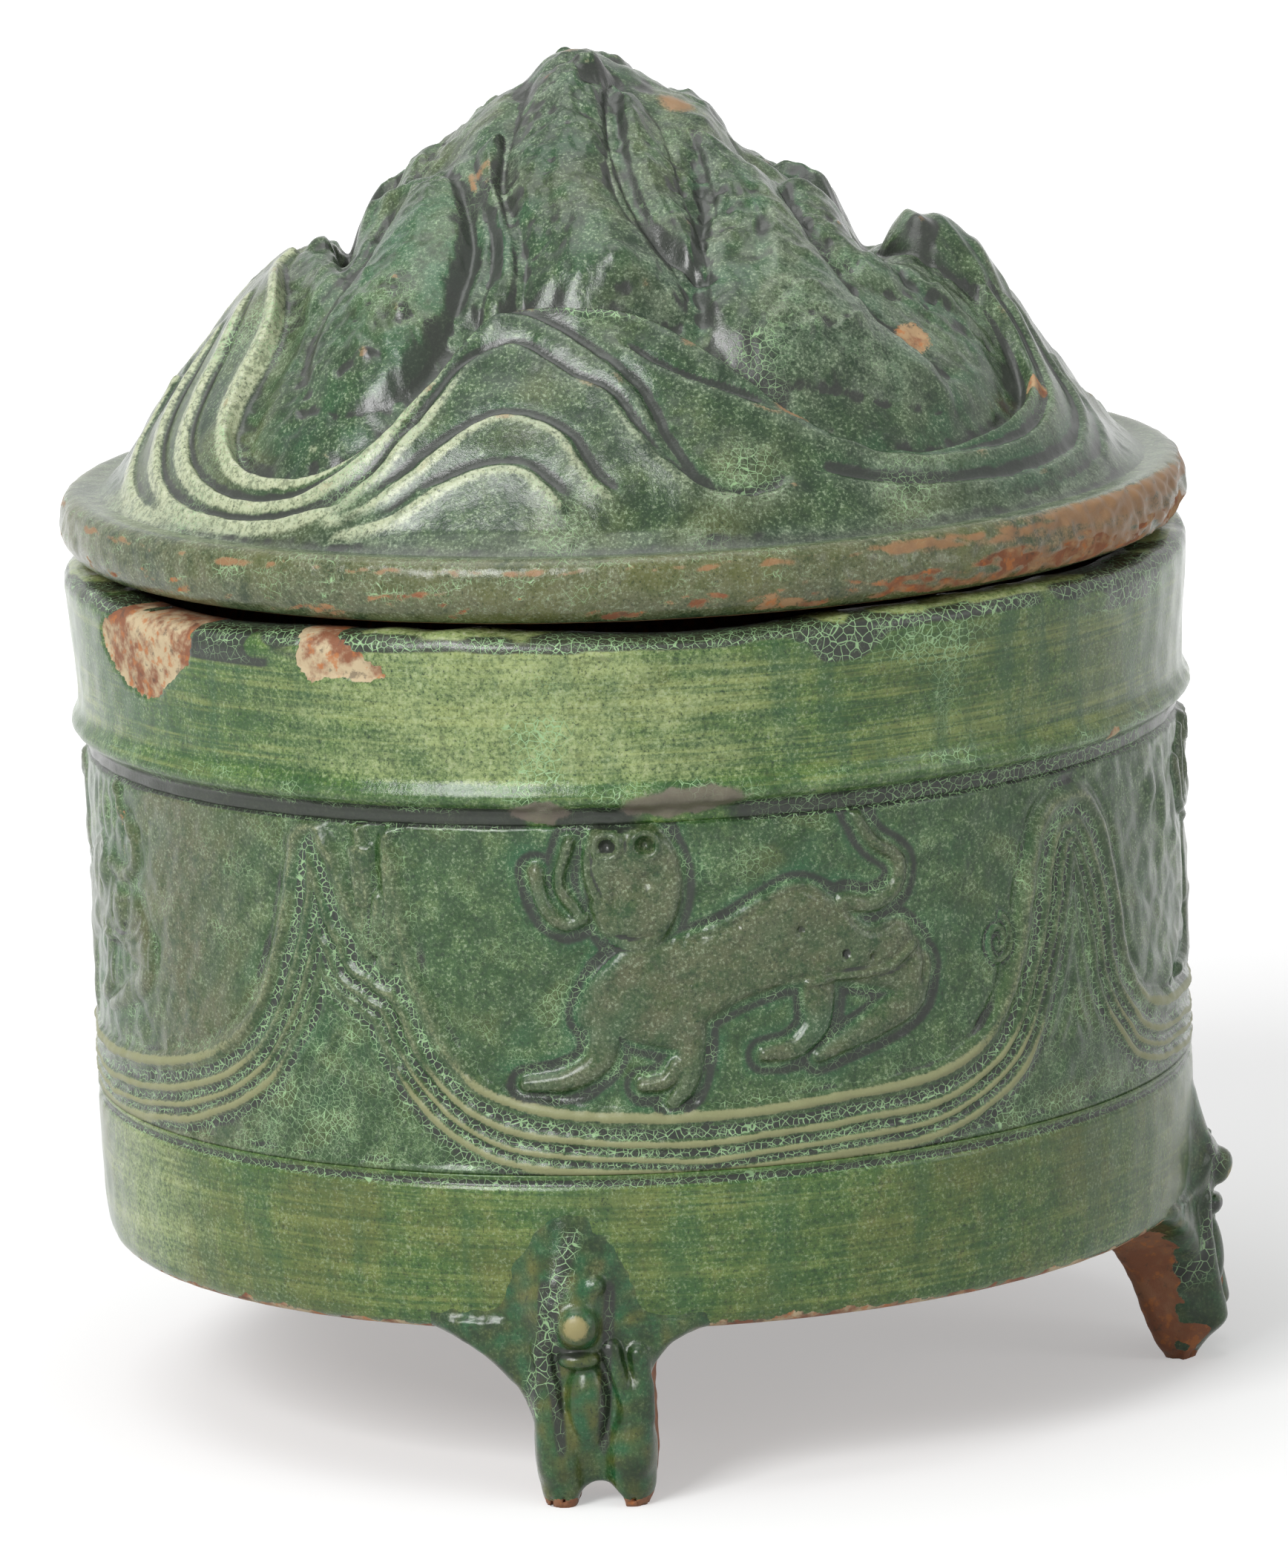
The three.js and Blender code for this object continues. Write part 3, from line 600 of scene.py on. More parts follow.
def beast_relief(u, v):
    """Height of one beast over the strip, and how far inside its outline each point is, in mm.

    The distance u is measured from the middle of its valley."""
    raised = np.zeros(u.shape)
    shape = np.full(u.shape, -99.0)
    for outline, top in ((beast_body, 0.7), (beast_head, 0.95)):
        depth = inside(smooth_line(outline, closed=True), u, v)
        raised = np.maximum(raised, top * (1 - np.exp(-np.clip(depth, 0, None) / 0.8)))
        shape = np.maximum(shape, depth)
    for points, wide, narrow in beast_limbs:
        away, along, length = beside(smooth_line(points), u, v)
        half = wide + (narrow - wide) * along / length
        raised = np.maximum(raised, 0.85 * np.clip(1 - (away / half) ** 2, 0, 1) ** 0.6)
        shape = np.maximum(shape, half - np.abs(away))
    raised -= 0.28 * hump(shape + 0.8, 0.8)
    for points in beast_lines:
        away, along, length = beside(smooth_line(points), u, v)
        ends = eased(0, 2, along) * eased(0, 2, length - along)
        raised += ends * (0.4 * hump(away, 0.5) - 0.25 * hump(np.abs(away) - 1.1, 0.5))
    # Round eyes with rims, and the cheeks under them
    for side in (-18.7, -12.2):
        away = np.hypot(u - side, v - 113.4)
        raised += 0.55 * hump(away - 2.2, 0.6) - 0.9 * hump(away, 1.1)
        raised += 0.35 * hump(np.hypot(u - side, v - 109.8), 1.2)
    # The muzzle, the hollows beside the nose, the mouth and a fold on the chest
    raised += 0.6 * hump(np.hypot((u + 15) / 1.2, (v - 101.5) / 1.5), 2.2)
    raised -= 0.6 * hump(np.hypot((u + 17.6) / 0.8, (v - 104.5) / 2.4), 1.0)
    raised -= 0.55 * hump(np.hypot(u + 12.4, v - 107), 1.2)
    raised -= 0.5 * hump((v - 97.6 - 0.3 * np.sin(u)) / 0.6, 1) * hump(u + 15, 4.5)
    raised -= 0.4 * hump((v - 89.4) / 0.5, 1) * hump(u + 6.5, 2.4)
    # Pinholes in the glaze
    for pit in ((-3.5, 97.2), (3, 98.5), (-6.5, 97.2), (14, 97), (22, 92), (27, 91)):
        raised -= 0.7 * hump(np.hypot(u - pit[0], v - pit[1]), 0.75)
    return raised, shape


def strip_relief(azimuth, height):
    """Height of the frieze's relief in mm, and where its lines, grooves and beasts are.

    The last two are inside the beasts and just outside them. All but the height run from 0 to 1."""
    raised, beast_inside, beast_beside = np.zeros((3,) + azimuth.shape)
    depth = np.full(azimuth.shape, -99.0)
    for middle in (0, 180):
        half = np.abs(wrapped(azimuth - middle)) <= 91
        knots = [(wrapped(a - middle), z) for a, z in ground_line if abs(wrapped(a - middle)) < 125]
        line = smooth_line([(a * arc_per_degree, z) for a, z in sorted(knots)], step=1.2)
        u = wrapped(azimuth - middle) * arc_per_degree
        depth[half] = -beside(line, u[half], height[half])[0]
    x, y = round_axis(azimuth, wall_radius)
    depth += 0.3 * rolling(x, y, height, 16, 43) * eased(0, 3, depth)
    high_ground = eased(68, 74, height)
    ridges = np.maximum.reduce([hump(depth - at, half) for at, half in ground_ridges])
    arcs = np.maximum.reduce([hump(depth - at, 0.8) for at in mountain_arcs]) * high_ground
    ridges = np.maximum(ridges, arcs) * (1 - 0.6 * eased(9, 12, depth) * high_ground)
    raised += 0.35 * eased(-1.6, 1.0, depth) + 0.8 * ridges
    raised -= 0.25 * hump(depth - 1.5, 0.4) * (1 - high_ground)
    raised -= 0.35 * hump(depth + 2.2, 0.9)
    grooves = eased(1.0, 3.0, depth) * (1 - eased(0.15, 0.6, ridges))
    grooves *= 1 - 0.7 * eased(10.5, 13.5, depth)
    for middle, strength in beast_azimuths.items():
        u = wrapped(azimuth - middle) * arc_per_degree
        near = (np.abs(u) < 42) & (height > 66)
        made, shape = beast_relief(u[near], height[near])
        raised[near] = np.maximum(raised[near], 1.3 * strength * made)
        raised[near] -= 0.25 * strength * hump(shape + 0.9, 0.8)
        beast_inside[near] = np.maximum(beast_inside[near], strength * eased(-0.3, 0.4, shape))
        beast_beside[near] = np.maximum(beast_beside[near], strength * hump(shape + 1.6, 1.9))
    for middle in scroll_azimuths:
        u = wrapped(azimuth - middle) * arc_per_degree
        turn = np.linspace(0, 3.4 * np.pi, 60)
        grow = 0.15 + 0.85 * turn / turn[-1]
        curl = np.stack([3.4 * grow * np.cos(turn - 3.1), 90 + 4.5 * grow * np.sin(turn - 3.1)], 1)
        near = around(curl, u, height, 3)
        away = beside(curl, u[near], height[near])[0]
        raised[near] += 0.75 * hump(away, 0.5) - 0.3 * hump(np.abs(away) - 0.9, 0.5)
        beast_beside[near] = np.maximum(beast_beside[near], hump(np.abs(away) - 0.9, 0.4))
        ridges[near] = np.maximum(ridges[near], 0.6 * hump(away, 0.45))
    for at, z, wide, tall, top in worn_lumps:
        u = wrapped(azimuth - at) * arc_per_degree
        raised += top * hump(np.hypot(u / wide, (height - z) / tall), 1)
    worn = hump(wrapped(azimuth - 72), 9) + hump(wrapped(azimuth + 70), 9)
    raised += worn * 0.45 * np.abs(rolling(x, y, height, 7, 44)) * eased(66, 72, height)
    return raised, ridges, grooves, beast_inside, beast_beside


def softened(values, reach):
    """A grid's values averaged over reach cells each way, round the jar and along the rows."""
    for way in (0, 1):
        values = sum(np.roll(values, shift, way) for shift in range(-reach, reach + 1))
        values = values / (2 * reach + 1)
    return values


def laid_behind(values, behind):
    """A grid with the two rows of the strip's back laid after it."""
    return np.vstack([values, np.broadcast_to(behind, (2, values.shape[1]))])


strip_heights = np.concatenate([
    np.linspace(57, 57.6, 2), np.arange(58, 115.9, 0.45), np.linspace(116.1, 117.3, 4),
])
# Columns stand closer together over the front, where the relief is finest
azimuths = [np.arange(-180, -80, 0.5), np.arange(-80, 88, 0.2), np.arange(88, 180, 0.5)]
azimuths = np.concatenate(azimuths)
azimuth, height = np.meshgrid(azimuths, strip_heights)
x, y = round_axis(azimuth, wall_radius)
relief, ridges, grooves, beast_inside, beast_beside = strip_relief(azimuth, height)
relief += 0.12 * rolling(x, y, height, 9, 41) + 0.08 * rolling(x, y, height, 3.6, 42)
relief *= 1 - eased(115.2, 116.8, height)
relief += (wall_radius - 0.15 - strip_radius - relief) * (1 - eased(57.2, 58.6, height))
radius = strip_radius + relief - 1.0 * eased(116.0, 117.2, height)
marks = wall_finish(azimuth, height)
near_form = softened(relief, 3) - relief
wide_form = softened(relief, 8) - relief
hollow = np.maximum(eased(0.05, 0.2, near_form), 0.7 * eased(0.1, 0.35, wide_form))
raised = eased(0.03, 0.16, -near_form)
patchy = rolling(x, y, height, 10, 45)
low_ground = 1 - eased(68, 78, height)
worn_end = hump(wrapped(azimuth + 67), 2.6) * eased(98, 104, height)
darkened = grooves * (0.45 + 0.55 * low_ground)
darkened += hollow * (0.35 + 0.3 * patchy) * (1 - 0.5 * beast_beside)
# Painted shade: a dark ring just outside each beast and scroll.
darkened += 0.6 * beast_beside**4
marks["pool_and_shade"] = np.clip(np.maximum(marks["pool_and_shade"], darkened), 0, 1)
marks["lush"] = np.clip(0.95 * beast_beside + 0.7 * grooves * (1 - low_ground) + 0.3 * patchy, 0, 1)
marks["umber"] = np.clip(0.85 * beast_inside + 0.5 * ridges + hump(wrapped(azimuth + 54), 10), 0, 1)
marks["crackle"] = np.clip(marks["crackle"] + 0.6 * grooves + 0.2 * hollow - 0.35 * beast_inside, 0, 1)
# Painted highlight: the tops of the relief made a little silvery.
marks["painted_sheen"] = np.clip(marks["painted_sheen"] + 0.15 * raised, 0, 1)
rubbed_lines = 0.55 * ridges * (0.4 + 0.6 * low_ground)
marks["edge"] = np.clip(marks["edge"] + rubbed_lines + 0.25 * raised, 0, 1)
marks["bare"] = 0.5 * worn_end * np.clip(0.6 + 0.5 * patchy, 0, 1)
azimuth = laid_behind(azimuth, azimuths)
height = laid_behind(height, np.array([[116.6], [57.3]]))
radius = laid_behind(radius, strip_back)
marks = {mark: laid_behind(values, 0.0) for mark, values in marks.items()}
frieze = turned_skin("frieze_strip", *round_axis(azimuth, radius), height, marks)
frieze.data.materials.append(lead_glaze(
    "frieze_glaze",
    deep=(0.02, 0.06, 0.016, 1), mid=(0.055, 0.12, 0.036, 1), light=(0.15, 0.22, 0.08, 1),
    worn=(0.26, 0.265, 0.13, 1), thin_and_lit_colour=(0.36, 0.42, 0.2, 1),
    buff=(0.42, 0.3, 0.16, 1), speckle=0.35, net_size=1.25,
))
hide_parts("relief_frieze")
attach(frieze, "jar")

# Floor. A slab of the same clay luted inside the wall's lower edge. It stays as packed, in bare
# red clay, and shows only from below and when the lid is off.
floor_red = (0.24, 0.12, 0.07, 1)
floor_buff = (0.36, 0.24, 0.15, 1)
bare_clay, place, shader = started("bare_clay")
colour = clay_colour(place, floor_red, floor_buff)
rough = 0.75 + 0.2 * place.noise(1.5)
bump = 0.25 * place.noise(2.5, 5) + 0.1 * place.noise(0.6)
connected(shader, place, colour, rough, bump)
floor_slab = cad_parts["jar_floor"]
floor_slab.data.materials.clear()
floor_slab.data.materials.append(bare_clay)

# Bear feet. Each foot is a squatting bear pressed in a mould and luted to the wall's lower edge,
# with the clay smoothed up the wall behind its head. Glaze covers the front, and its soles and
# inner sides are bare red clay.
foot_azimuths = {"foot_front": -6.5, "foot_right": 86, "foot_back": -138}
foot_cell = 0.55  # mm between the grid's points that the feet are worked out on


def blended(a, b, width):
    """The union of two solids' distances, with a fillet of about a width."""
    h = np.clip(0.5 + 0.5 * (b - a) / width, 0, 1)
    return b + (a - b) * h - width * h * (1 - h)


def ball(x, out, z, middle, half):
    """Distance to an egg, from its middle (across, out, up) and half sizes."""
    k = np.sqrt(((x - middle[0]) / half[0]) ** 2 + ((out - middle[1]) / half[1]) ** 2
                + ((z - middle[2]) / half[2]) ** 2)
    return (k - 1) * min(half)


def sausage(x, out, z, start, end, thick, thin_and_lit_mask):
    """Distance to a tapering roll of clay between two points."""
    start, end = np.array(start, float), np.array(end, float)
    way = end - start
    t = np.clip(((x - start[0]) * way[0] + (out - start[1]) * way[1] + (z - start[2]) * way[2])
                / (way @ way), 0, 1)
    away = np.sqrt((x - start[0] - t * way[0]) ** 2 + (out - start[1] - t * way[1]) ** 2
                   + (z - start[2] - t * way[2]) ** 2)
    return away - (thick + (thin_and_lit_mask - thick) * t)


# The limb's sides, front and back by height: how far each is across, or out from the axis
left_side = [
    (0, -8.2), (3, -9.6), (9, -10.2), (15, -10.8), (19, -12.6), (22, -15.2), (25, -18.5),
    (27.5, -22.5), (30, -27),
]
right_side = [(0, 8.3), (3, 9.6), (9, 10.1), (19, 9.6), (23, 10.2), (26, 12.4), (28, 15), (30, 19)]
front_side = [
    (0, 94), (3, 97.5), (8, 99.3), (14, 98.8), (20, 98.6), (26, 98.2), (30, 97.4), (36, 97),
]
back_side = [(0, 91.2), (3, 89.5), (9, 87.3), (15, 85.4), (22, 82.6), (28, 80), (36, 80)]
limb_corner = 3.2  # radius of its rounded corners


def bear(x, out, z):
    """Distance to the bear's surface, with out measured from the jar's axis."""

    def egg(middle, half):
        return ball(x, out, z, middle, half)

    def roll(start, end, thick, thin_and_lit_mask):
        return sausage(x, out, z, start, end, thick, thin_and_lit_mask)

    left, right = through(left_side, z), through(right_side, z)
    front, back = through(front_side, z), through(back_side, z)
    box_x = np.abs(x - (left + right) / 2) - (right - left) / 2 + limb_corner
    box_out = np.abs(out - (front + back) / 2) - (front - back) / 2 + limb_corner
    body = np.hypot(np.maximum(box_x, 0), np.maximum(box_out, 0))
    body = body + np.minimum(np.maximum(box_x, box_out), 0) - limb_corner
    body = np.maximum(body, z - 31)
    legs = np.minimum(egg((-5.6, 97.2, 7.5), (4.2, 4.5, 9.5)), egg((5.9, 97.2, 8), (4.2, 4.6, 9.5)))
    paws = np.minimum(egg((-5.4, 97, 2.6), (3.6, 4.0, 3.6)), egg((6.2, 97.2, 3.2), (3.6, 4.2, 3.8)))
    solid = blended(body, blended(legs, paws, 1.2), 1.6)
    thighs = np.minimum(roll((-8, 98.4, 20), (-6.3, 99.5, 7), 2.3, 3.0),
                        roll((8.2, 98.2, 20), (6.8, 99.6, 8), 2.2, 3.1))
    belly = egg((-0.8, 97.6, 17), (4.0, 4.3, 8.3))
    arms = np.minimum(roll((-8.4, 98.6, 27), (-6.0, 99.6, 13), 1.7, 1.2),
                      roll((3.6, 98.8, 27), (6.6, 99.8, 16), 1.6, 1.1))
    shoulder = roll((8.2, 98, 26), (9.2, 98.6, 15), 1.8, 1.2)
    neck = roll((-4, 94.8, 46), (-5.5, 96.4, 34), 2.6, 5.2)
    pad = blended(neck, egg((-3, 94.8, 36), (8.2, 4.4, 9)), 3)
    head = egg((-2.2, 97.2, 32.5), (5.0, 4.5, 8.2))
    muzzle = egg((-1.7, 100.4, 31.6), (3.7, 3.5, 3.9))
    chin = egg((-1.9, 99.8, 25.6), (3.7, 2.2, 1.7))
    for part, fillet in ((thighs, 1.5), (belly, 0.6), (arms, 0.8), (shoulder, 1.0), (pad, 4),
                         (head, 1.0), (muzzle, 0.5), (chin, 0.5)):
        solid = blended(solid, part, fillet)
    mouth = egg((-1.9, 102.0, 27.4), (3.8, 1.8, 0.6))
    solid = -blended(-solid, mouth, 0.5)
    for side in (-7.0, 3.4):
        furrow = roll((side, 101.4, 33), (side * 0.7 - 0.4, 102.2, 12), 1.1, 0.9)
        solid = -blended(-solid, furrow, 0.9)
    for side in (-5.6, 1.4):
        ear = egg((side, 98.8, 38.2), (1.5, 1.5, 1.6))
        solid = blended(solid, ear, 0.9)
    cleft = roll((0.6, 102.2, 12), (0.8, 101, 3), 0.9, 1.8)
    solid = -blended(-solid, cleft, 1.6)
    for side in (-7.4, -5.3, 4.4, 6.6):
        between_toes = roll((side, 101.8, 2.2), (side, 98.5, 0.2), 0.35, 0.35)
        solid = -blended(-solid, between_toes, 0.5)
    arch = np.hypot((x - 0.9) / 1.05, z) - 3.9
    solid = -blended(-solid, arch, 0.8)
    # The wall's own skin, just under it, so that the clay is smoothed into it with a fillet
    wall_skin = np.maximum(out - through(wall_profile, z) + 0.35, wall_foot + 0.25 - z)
    return blended(solid, np.where(z < 58, wall_skin, 1.0), 3.2)


def shifted(grid, corner):
    """The grid's cells, each with the value at one of its eight corners."""
    i, j, k = corner
    long, wide, tall = grid.shape
    return grid[i: i + long - 1, j: j + wide - 1, k: k + tall - 1]


def surface_net(values, low, cell):
    """The skin where a grid of distances crosses 0, as points and four-sided faces."""
    solid = values < 0
    index = -np.ones(np.array(values.shape) - 1, int)
    corner_sets = [(i, j, k) for i in (0, 1) for j in (0, 1) for k in (0, 1)]
    count = sum(shifted(solid, corner).astype(int) for corner in corner_sets)
    mixed = (count > 0) & (count < 8)
    index[mixed] = np.arange(mixed.sum())
    total = np.zeros((mixed.sum(), 3))
    weight = np.zeros(mixed.sum())
    for a in corner_sets:
        for b in corner_sets:
            if sum(b) == sum(a) + 1 and all(q >= p for p, q in zip(a, b)):
                va, vb = shifted(values, a)[mixed], shifted(values, b)[mixed]
                cut = (va < 0) != (vb < 0)
                t = np.where(cut, va / np.where(cut, va - vb, 1), 0)
                spot = np.array(a) + t[:, None] * (np.array(b) - np.array(a))
                total[cut] += spot[cut]
                weight[cut] += 1
    points = (np.argwhere(mixed) + total / weight[:, None]) * cell + low
    faces = []
    for way in range(3):
        one, two = (way + 1) % 3, (way + 2) % 3
        step = np.eye(3, dtype=int)
        start = solid[tuple(slice(0, -1) if n == way else slice(None) for n in range(3))]
        end = solid[tuple(slice(1, None) if n == way else slice(None) for n in range(3))]
        for leaving, crossed in ((True, start & ~end), (False, ~start & end)):
            cells = np.argwhere(crossed)
            for side in (one, two):
                cells = cells[(cells[:, side] > 0) & (cells[:, side] < values.shape[side] - 1)]
            ring = [cells, cells - step[one], cells - step[one] - step[two], cells - step[two]]
            quad = np.stack([index[tuple(spot.T)] for spot in ring], 1)
            faces.append(quad if leaving else quad[:, ::-1])
    return points, np.vstack(faces)


span = [(-30, 24), (76, 106), (-1.5, 53)]
steps = [np.arange(low, high, foot_cell) for low, high in span]
grid_x, grid_out, grid_z = np.meshgrid(*steps, indexing="ij")
bend = np.hypot(grid_x, grid_out)  # distance from the jar's axis
distance = bear(grid_x, bend, grid_z)
distance += 0.09 * rolling(grid_x, grid_out, grid_z, 3.2, 51) * eased(99, 96, bend)
distance = np.maximum(distance, 0.12 - grid_z)
cut_off = np.maximum.reduce([np.abs(grid_x + 3) - 26, 77.5 - bend, grid_z - 51.5])
distance = np.maximum(distance, cut_off)
points, faces = surface_net(distance, np.array([low for low, _ in span]), foot_cell)
# The lowest row of points lies flat on the ground
points[:, 2] = np.where(points[:, 2] < 0.45, 0.0, points[:, 2])
foot_glaze = lead_glaze(
    "foot_glaze",
    deep=(0.012, 0.032, 0.009, 1), mid=(0.035, 0.068, 0.02, 1), light=(0.10, 0.13, 0.04, 1),
    worn=(0.32, 0.27, 0.12, 1), thin_and_lit_colour=(0.3, 0.34, 0.14, 1), buff=(0.26, 0.12, 0.06, 1),
    speckle=0.1, net_size=1.9,
)
for name, turn in foot_azimuths.items():
    angle = math.radians(turn)
    across = np.array([math.cos(angle), math.sin(angle)])
    outward = np.array([math.sin(angle), -math.cos(angle)])
    px, py, pz = points.T
    if name == "foot_right":
        # This one holds its paws in and its muzzle up
        py = py - 4.0 * (1 - eased(0, 8, pz)) * eased(92, 100, py)
        pz = pz + 2.8 * hump(pz - 31, 7) * eased(98, 101, py)
    flat = px[:, None] * across + py[:, None] * outward + [axis_x, axis_y]
    mesh = bpy.data.meshes.new(name + "_bear")
    mesh.from_pydata((np.column_stack([flat, pz]) / 1000).tolist(), [], faces.tolist())
    mesh.shade_smooth()
    out = np.hypot(px, py)
    rough_edge = rolling(px, out, pz, 4, 52)
    behind = eased(95.5, 92, out + 1.2 * rough_edge) * (1 - eased(24, 29, pz))
    sole = 1 - eased(0.6, 2.4, pz + 0.5 * rough_edge)
    nose = hump(np.hypot(px + 1.7, pz - 32), 3.0) * eased(101.8, 103.4, out)
    furrows = hump(px - (-7.0 + (33 - pz) * 0.08), 1.2) + hump(px - (3.4 + (33 - pz) * -0.07), 1.2)
    furrows = furrows * eased(6, 12, pz) * (1 - eased(36, 42, pz))
    mouth_line = hump(pz - 26.9, 0.9) * hump(px + 3.4, 4)
    left_net = hump(px + 10 - 0.28 * (pz - 20), 2.3) * eased(8, 16, pz) * (1 - eased(46, 50, pz))
    flaked = 0.0
    if name == "foot_right":
        flaked = 0.9 * eased(0.2, 0.9, rolling(px, out, pz, 9, 53)) * (1 - eased(10, 14, pz))
    marks = {
        "bare": np.clip(behind + 0.9 * sole + 0.3 * nose + flaked, 0, 1),
        "pool_and_shade": np.clip(0.8 * furrows + 0.6 * left_net + 0.8 * mouth_line, 0, 1),
        "crackle": np.clip(0.12 + 0.9 * left_net + 0.45 * furrows, 0, 1),
        "thinned_and_lit": np.full(px.shape, 0.1),
        "olive": np.clip(0.6 + 0.35 * rough_edge, 0, 1),
        "lush": np.clip(0.5 - 0.5 * rough_edge, 0, 1),
        "streak": 0.35 * eased(34, 42, pz),
        "edge": np.clip(0.3 * (1 - eased(2, 7, pz)) + 0.9 * nose, 0, 1),
    }
    for mark, values in marks.items():
        kept = mesh.attributes.new(mark, "FLOAT", "POINT").data
        kept.foreach_set("value", np.ascontiguousarray(values))
    mesh.materials.append(foot_glaze)
    foot = bpy.data.objects.new("bear_" + name, mesh)
    bpy.context.scene.collection.objects.link(foot)
    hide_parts(name)
    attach(foot, "jar")

# Lid flange. A thick ring with a rounded edge, thrown in one with the lid's seat, that lies loose
# on the jar's mouth. The glaze has run thin on its edge, so red clay shows through along it, and
# earth from the burial clings to the right side.
flange_columns = 900
# The flange's section as radius and height, from inside the seat round the edge to under the hill
flange_profile = [
    (76, 158), (76, 150.8), (76.6, 150.35), (80, 150.3), (86, 150.3), (90, 150.35), (93, 150.7),
    (95.2, 151.2), (96.6, 151.9), (97.7, 152.9), (98.4, 154.0), (98.9, 155.2), (99.1, 156.4),
    (99.0, 157.6), (98.8, 159), (98.5, 160.2), (98.0, 161.2), (97.2, 161.9), (96.2, 162.2),
    (95, 162.2), (93.5, 162.0), (92, 161.9), (90.5, 161.95), (89, 162.1), (86, 162.1), (80, 162),
    (76.6, 161.6),
]
along = np.linspace(0, len(flange_profile) - 1, 4 * len(flange_profile) - 3)
knot = np.arange(len(flange_profile))
row_radius = through(list(zip(knot, [r for r, _ in flange_profile])), along)
row_height = through(list(zip(knot, [z for _, z in flange_profile])), along)
azimuths = np.arange(flange_columns) / flange_columns * 360 - 180
azimuth, radius = np.meshgrid(azimuths, row_radius)
height = np.repeat(row_height[:, None], flange_columns, 1)
x, y = round_axis(azimuth, radius)
rim_side = eased(95, 97.5, radius)
crusted = hump(wrapped(azimuth - 62), 34) * rim_side
lumps = 0.12 * rolling(x, y, height, 14, 61) + (0.08 + 0.28 * crusted) * rolling(x, y, height, 3.1, 62)
radius += rim_side * np.minimum(lumps, 0.35)
low_side = 1 - eased(155.2, 157.2, height + 0.9 * rolling(x, y, height, 16, 63))
patches = 0.6 * rolling(x, y, height * 2.5, 13, 64) + 0.55 * rolling(x, y, height * 2.5, 4.2, 65)
bare = rim_side * low_side * (0.26 + 0.26 * patches + 0.3 * crusted)
bare = np.clip(bare + 0.42 * crusted * eased(-0.2, 0.9, patches), 0, 1)
bare = np.maximum(bare, np.where((height < 151.2) | (radius < 88), 1.0, 0.0))
shelf = eased(160.5, 161.8, height) * (1 - rim_side)
rubbed = 0.6 * rim_side * (hump(height - 160.2, 1.2) + 0.8 * low_side) * (0.6 + 0.6 * patches)
darkened = shelf * hump(radius - 90.4, 1.6) * (0.8 - 0.5 * hump(wrapped(azimuth + 55), 40))
marks = {
    "bare": bare,
    "edge": np.clip(rubbed + 0.6 * crusted, 0, 1),
    "pool_and_shade": np.clip(darkened, 0, 1),
    "crackle": np.clip(0.4 + 0.3 * patches * rim_side - 0.7 * crusted, 0, 1),
    # Painted light on the left of the seat's shelf, which faces the lamps.
    "thinned_and_lit": np.clip(0.4 * shelf * hump(wrapped(azimuth + 60), 38) + 0.05 * shelf, 0, 1),
    "olive": np.clip(0.8 * rim_side + 0.25, 0, 1),
    "umber": 0.7 * rim_side,
    # Painted sheen on the shelf, and a little over all the flange.
    "painted_sheen": np.clip(0.35 * shelf + 0.15, 0, 1),
    "streak": 0.35 * rim_side,
}
flange = turned_skin("lid_flange", *round_axis(azimuth, radius), height, marks)
flange.data.materials.append(lead_glaze(
    "flange_glaze",
    deep=(0.022, 0.045, 0.016, 1), mid=(0.07, 0.11, 0.04, 1), light=(0.16, 0.19, 0.075, 1),
    worn=(0.27, 0.14, 0.06, 1), thin_and_lit_colour=(0.4, 0.45, 0.26, 1),
    buff=(0.36, 0.22, 0.11, 1), speckle=0.35, net_size=1.4,
))
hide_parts("lid_rim")
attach(flange, "lid")

# Lid mountain. A hollow hill pressed in a mould, with waves of overlapping ridges that rise to two
# side peaks, and taller mountains behind them up to the summit. Its glaze is pale on the left and
# worn to the clay on the highest ridges. A silvery painted sheen lies in the hollows and on the
# ridges, raised tops are painted lighter and steep sides are painted in shade.
hill_height = 74.5
hill_base = 162.6
hill_foot = 88.7  # radius where the slope meets the flange
summit_top = 236.6
summit_offset = -5.5
shell = 13.6  # mm from the hollow's roof up to the even slope
slant = 1.5  # mm down the slope for each mm of radius
hill_columns = 840
# The even slope: height over the base by radius, both as shares of the whole
hill_slope = [
    (0, 0.925), (0.06, 0.918), (0.135, 0.882), (0.225, 0.805), (0.34, 0.71), (0.45, 0.617),
    (0.565, 0.515), (0.68, 0.41), (0.79, 0.283), (0.9, 0.142), (0.965, 0.045), (1, 0),
]
# The big waves' crest, as azimuth and radius
wave_crest = [
    (-88, 56), (-80, 57), (-72, 59), (-66, 62.5), (-63, 67), (-61.5, 72), (-59, 77), (-55, 80.5),
    (-50, 82.5), (-44, 83), (-38.5, 82), (-33.5, 79), (-29.5, 74.5), (-26, 69.5), (-22, 63),
    (-17, 58.8), (-12, 58), (-4, 59), (3, 59.5),
    (9, 62), (14, 65.5), (19, 70.5), (24, 76), (30, 80), (38, 82), (48, 82), (58, 80.5), (66, 78),
    (72, 74), (77, 67), (82, 60), (87, 56.5),
]
# The same crest goes on round the back, with its own shape where it passes the two side peaks
wave_crest += [(a + 180, r) for a, r in wave_crest if -67 < a < 80]
wave_crest = sorted(wave_crest + [(93, 56), (100, 56), (107, 57), (262, 59), (267, 53)])
# How high the waves' crest stands over the slope behind it, by azimuth
wave_height = [
    (-180, 5), (-130, 3), (-88, 4.2), (-48, 3.2), (-10, 4.5), (42, 3.6), (90, 5), (135, 3.5),
]
# The crest of the mountains beside the summit, as azimuth and radius, and its height
peak_crest = [
    (-90, 46), (-75, 36), (-60, 29.3), (-46, 30.6), (-34, 36.4), (-26, 44.4), (-20, 53),
    (-12, 53), (0, 51.5), (10, 55), (18, 55), (26, 46), (35, 38), (50, 34), (68, 35), (80, 45),
]
peak_crest += [(a + 180, r) for a, r in peak_crest]
peak_height = 3.2
# Mountains that come down from the summit: from x, y to x, y, half width and height
summit_spurs = [
    (-3, -4, -1, -54, 11.5, 6.5), (-15, -9, -38, -43, 13, 5), (-11, -20, -19, -50, 6, 3.2),
    (12, -9, 15, -42, 8, 5), (20, -13, 37, -50, 13, 5.5), (12, -1, 38, -12, 9, 3.5),
    (-13, -1, -40, -8, 9, 3),
]
summit_spurs += [(-a, -b, -c, -d, half, 0.9 * top) for a, b, c, d, half, top in summit_spurs]
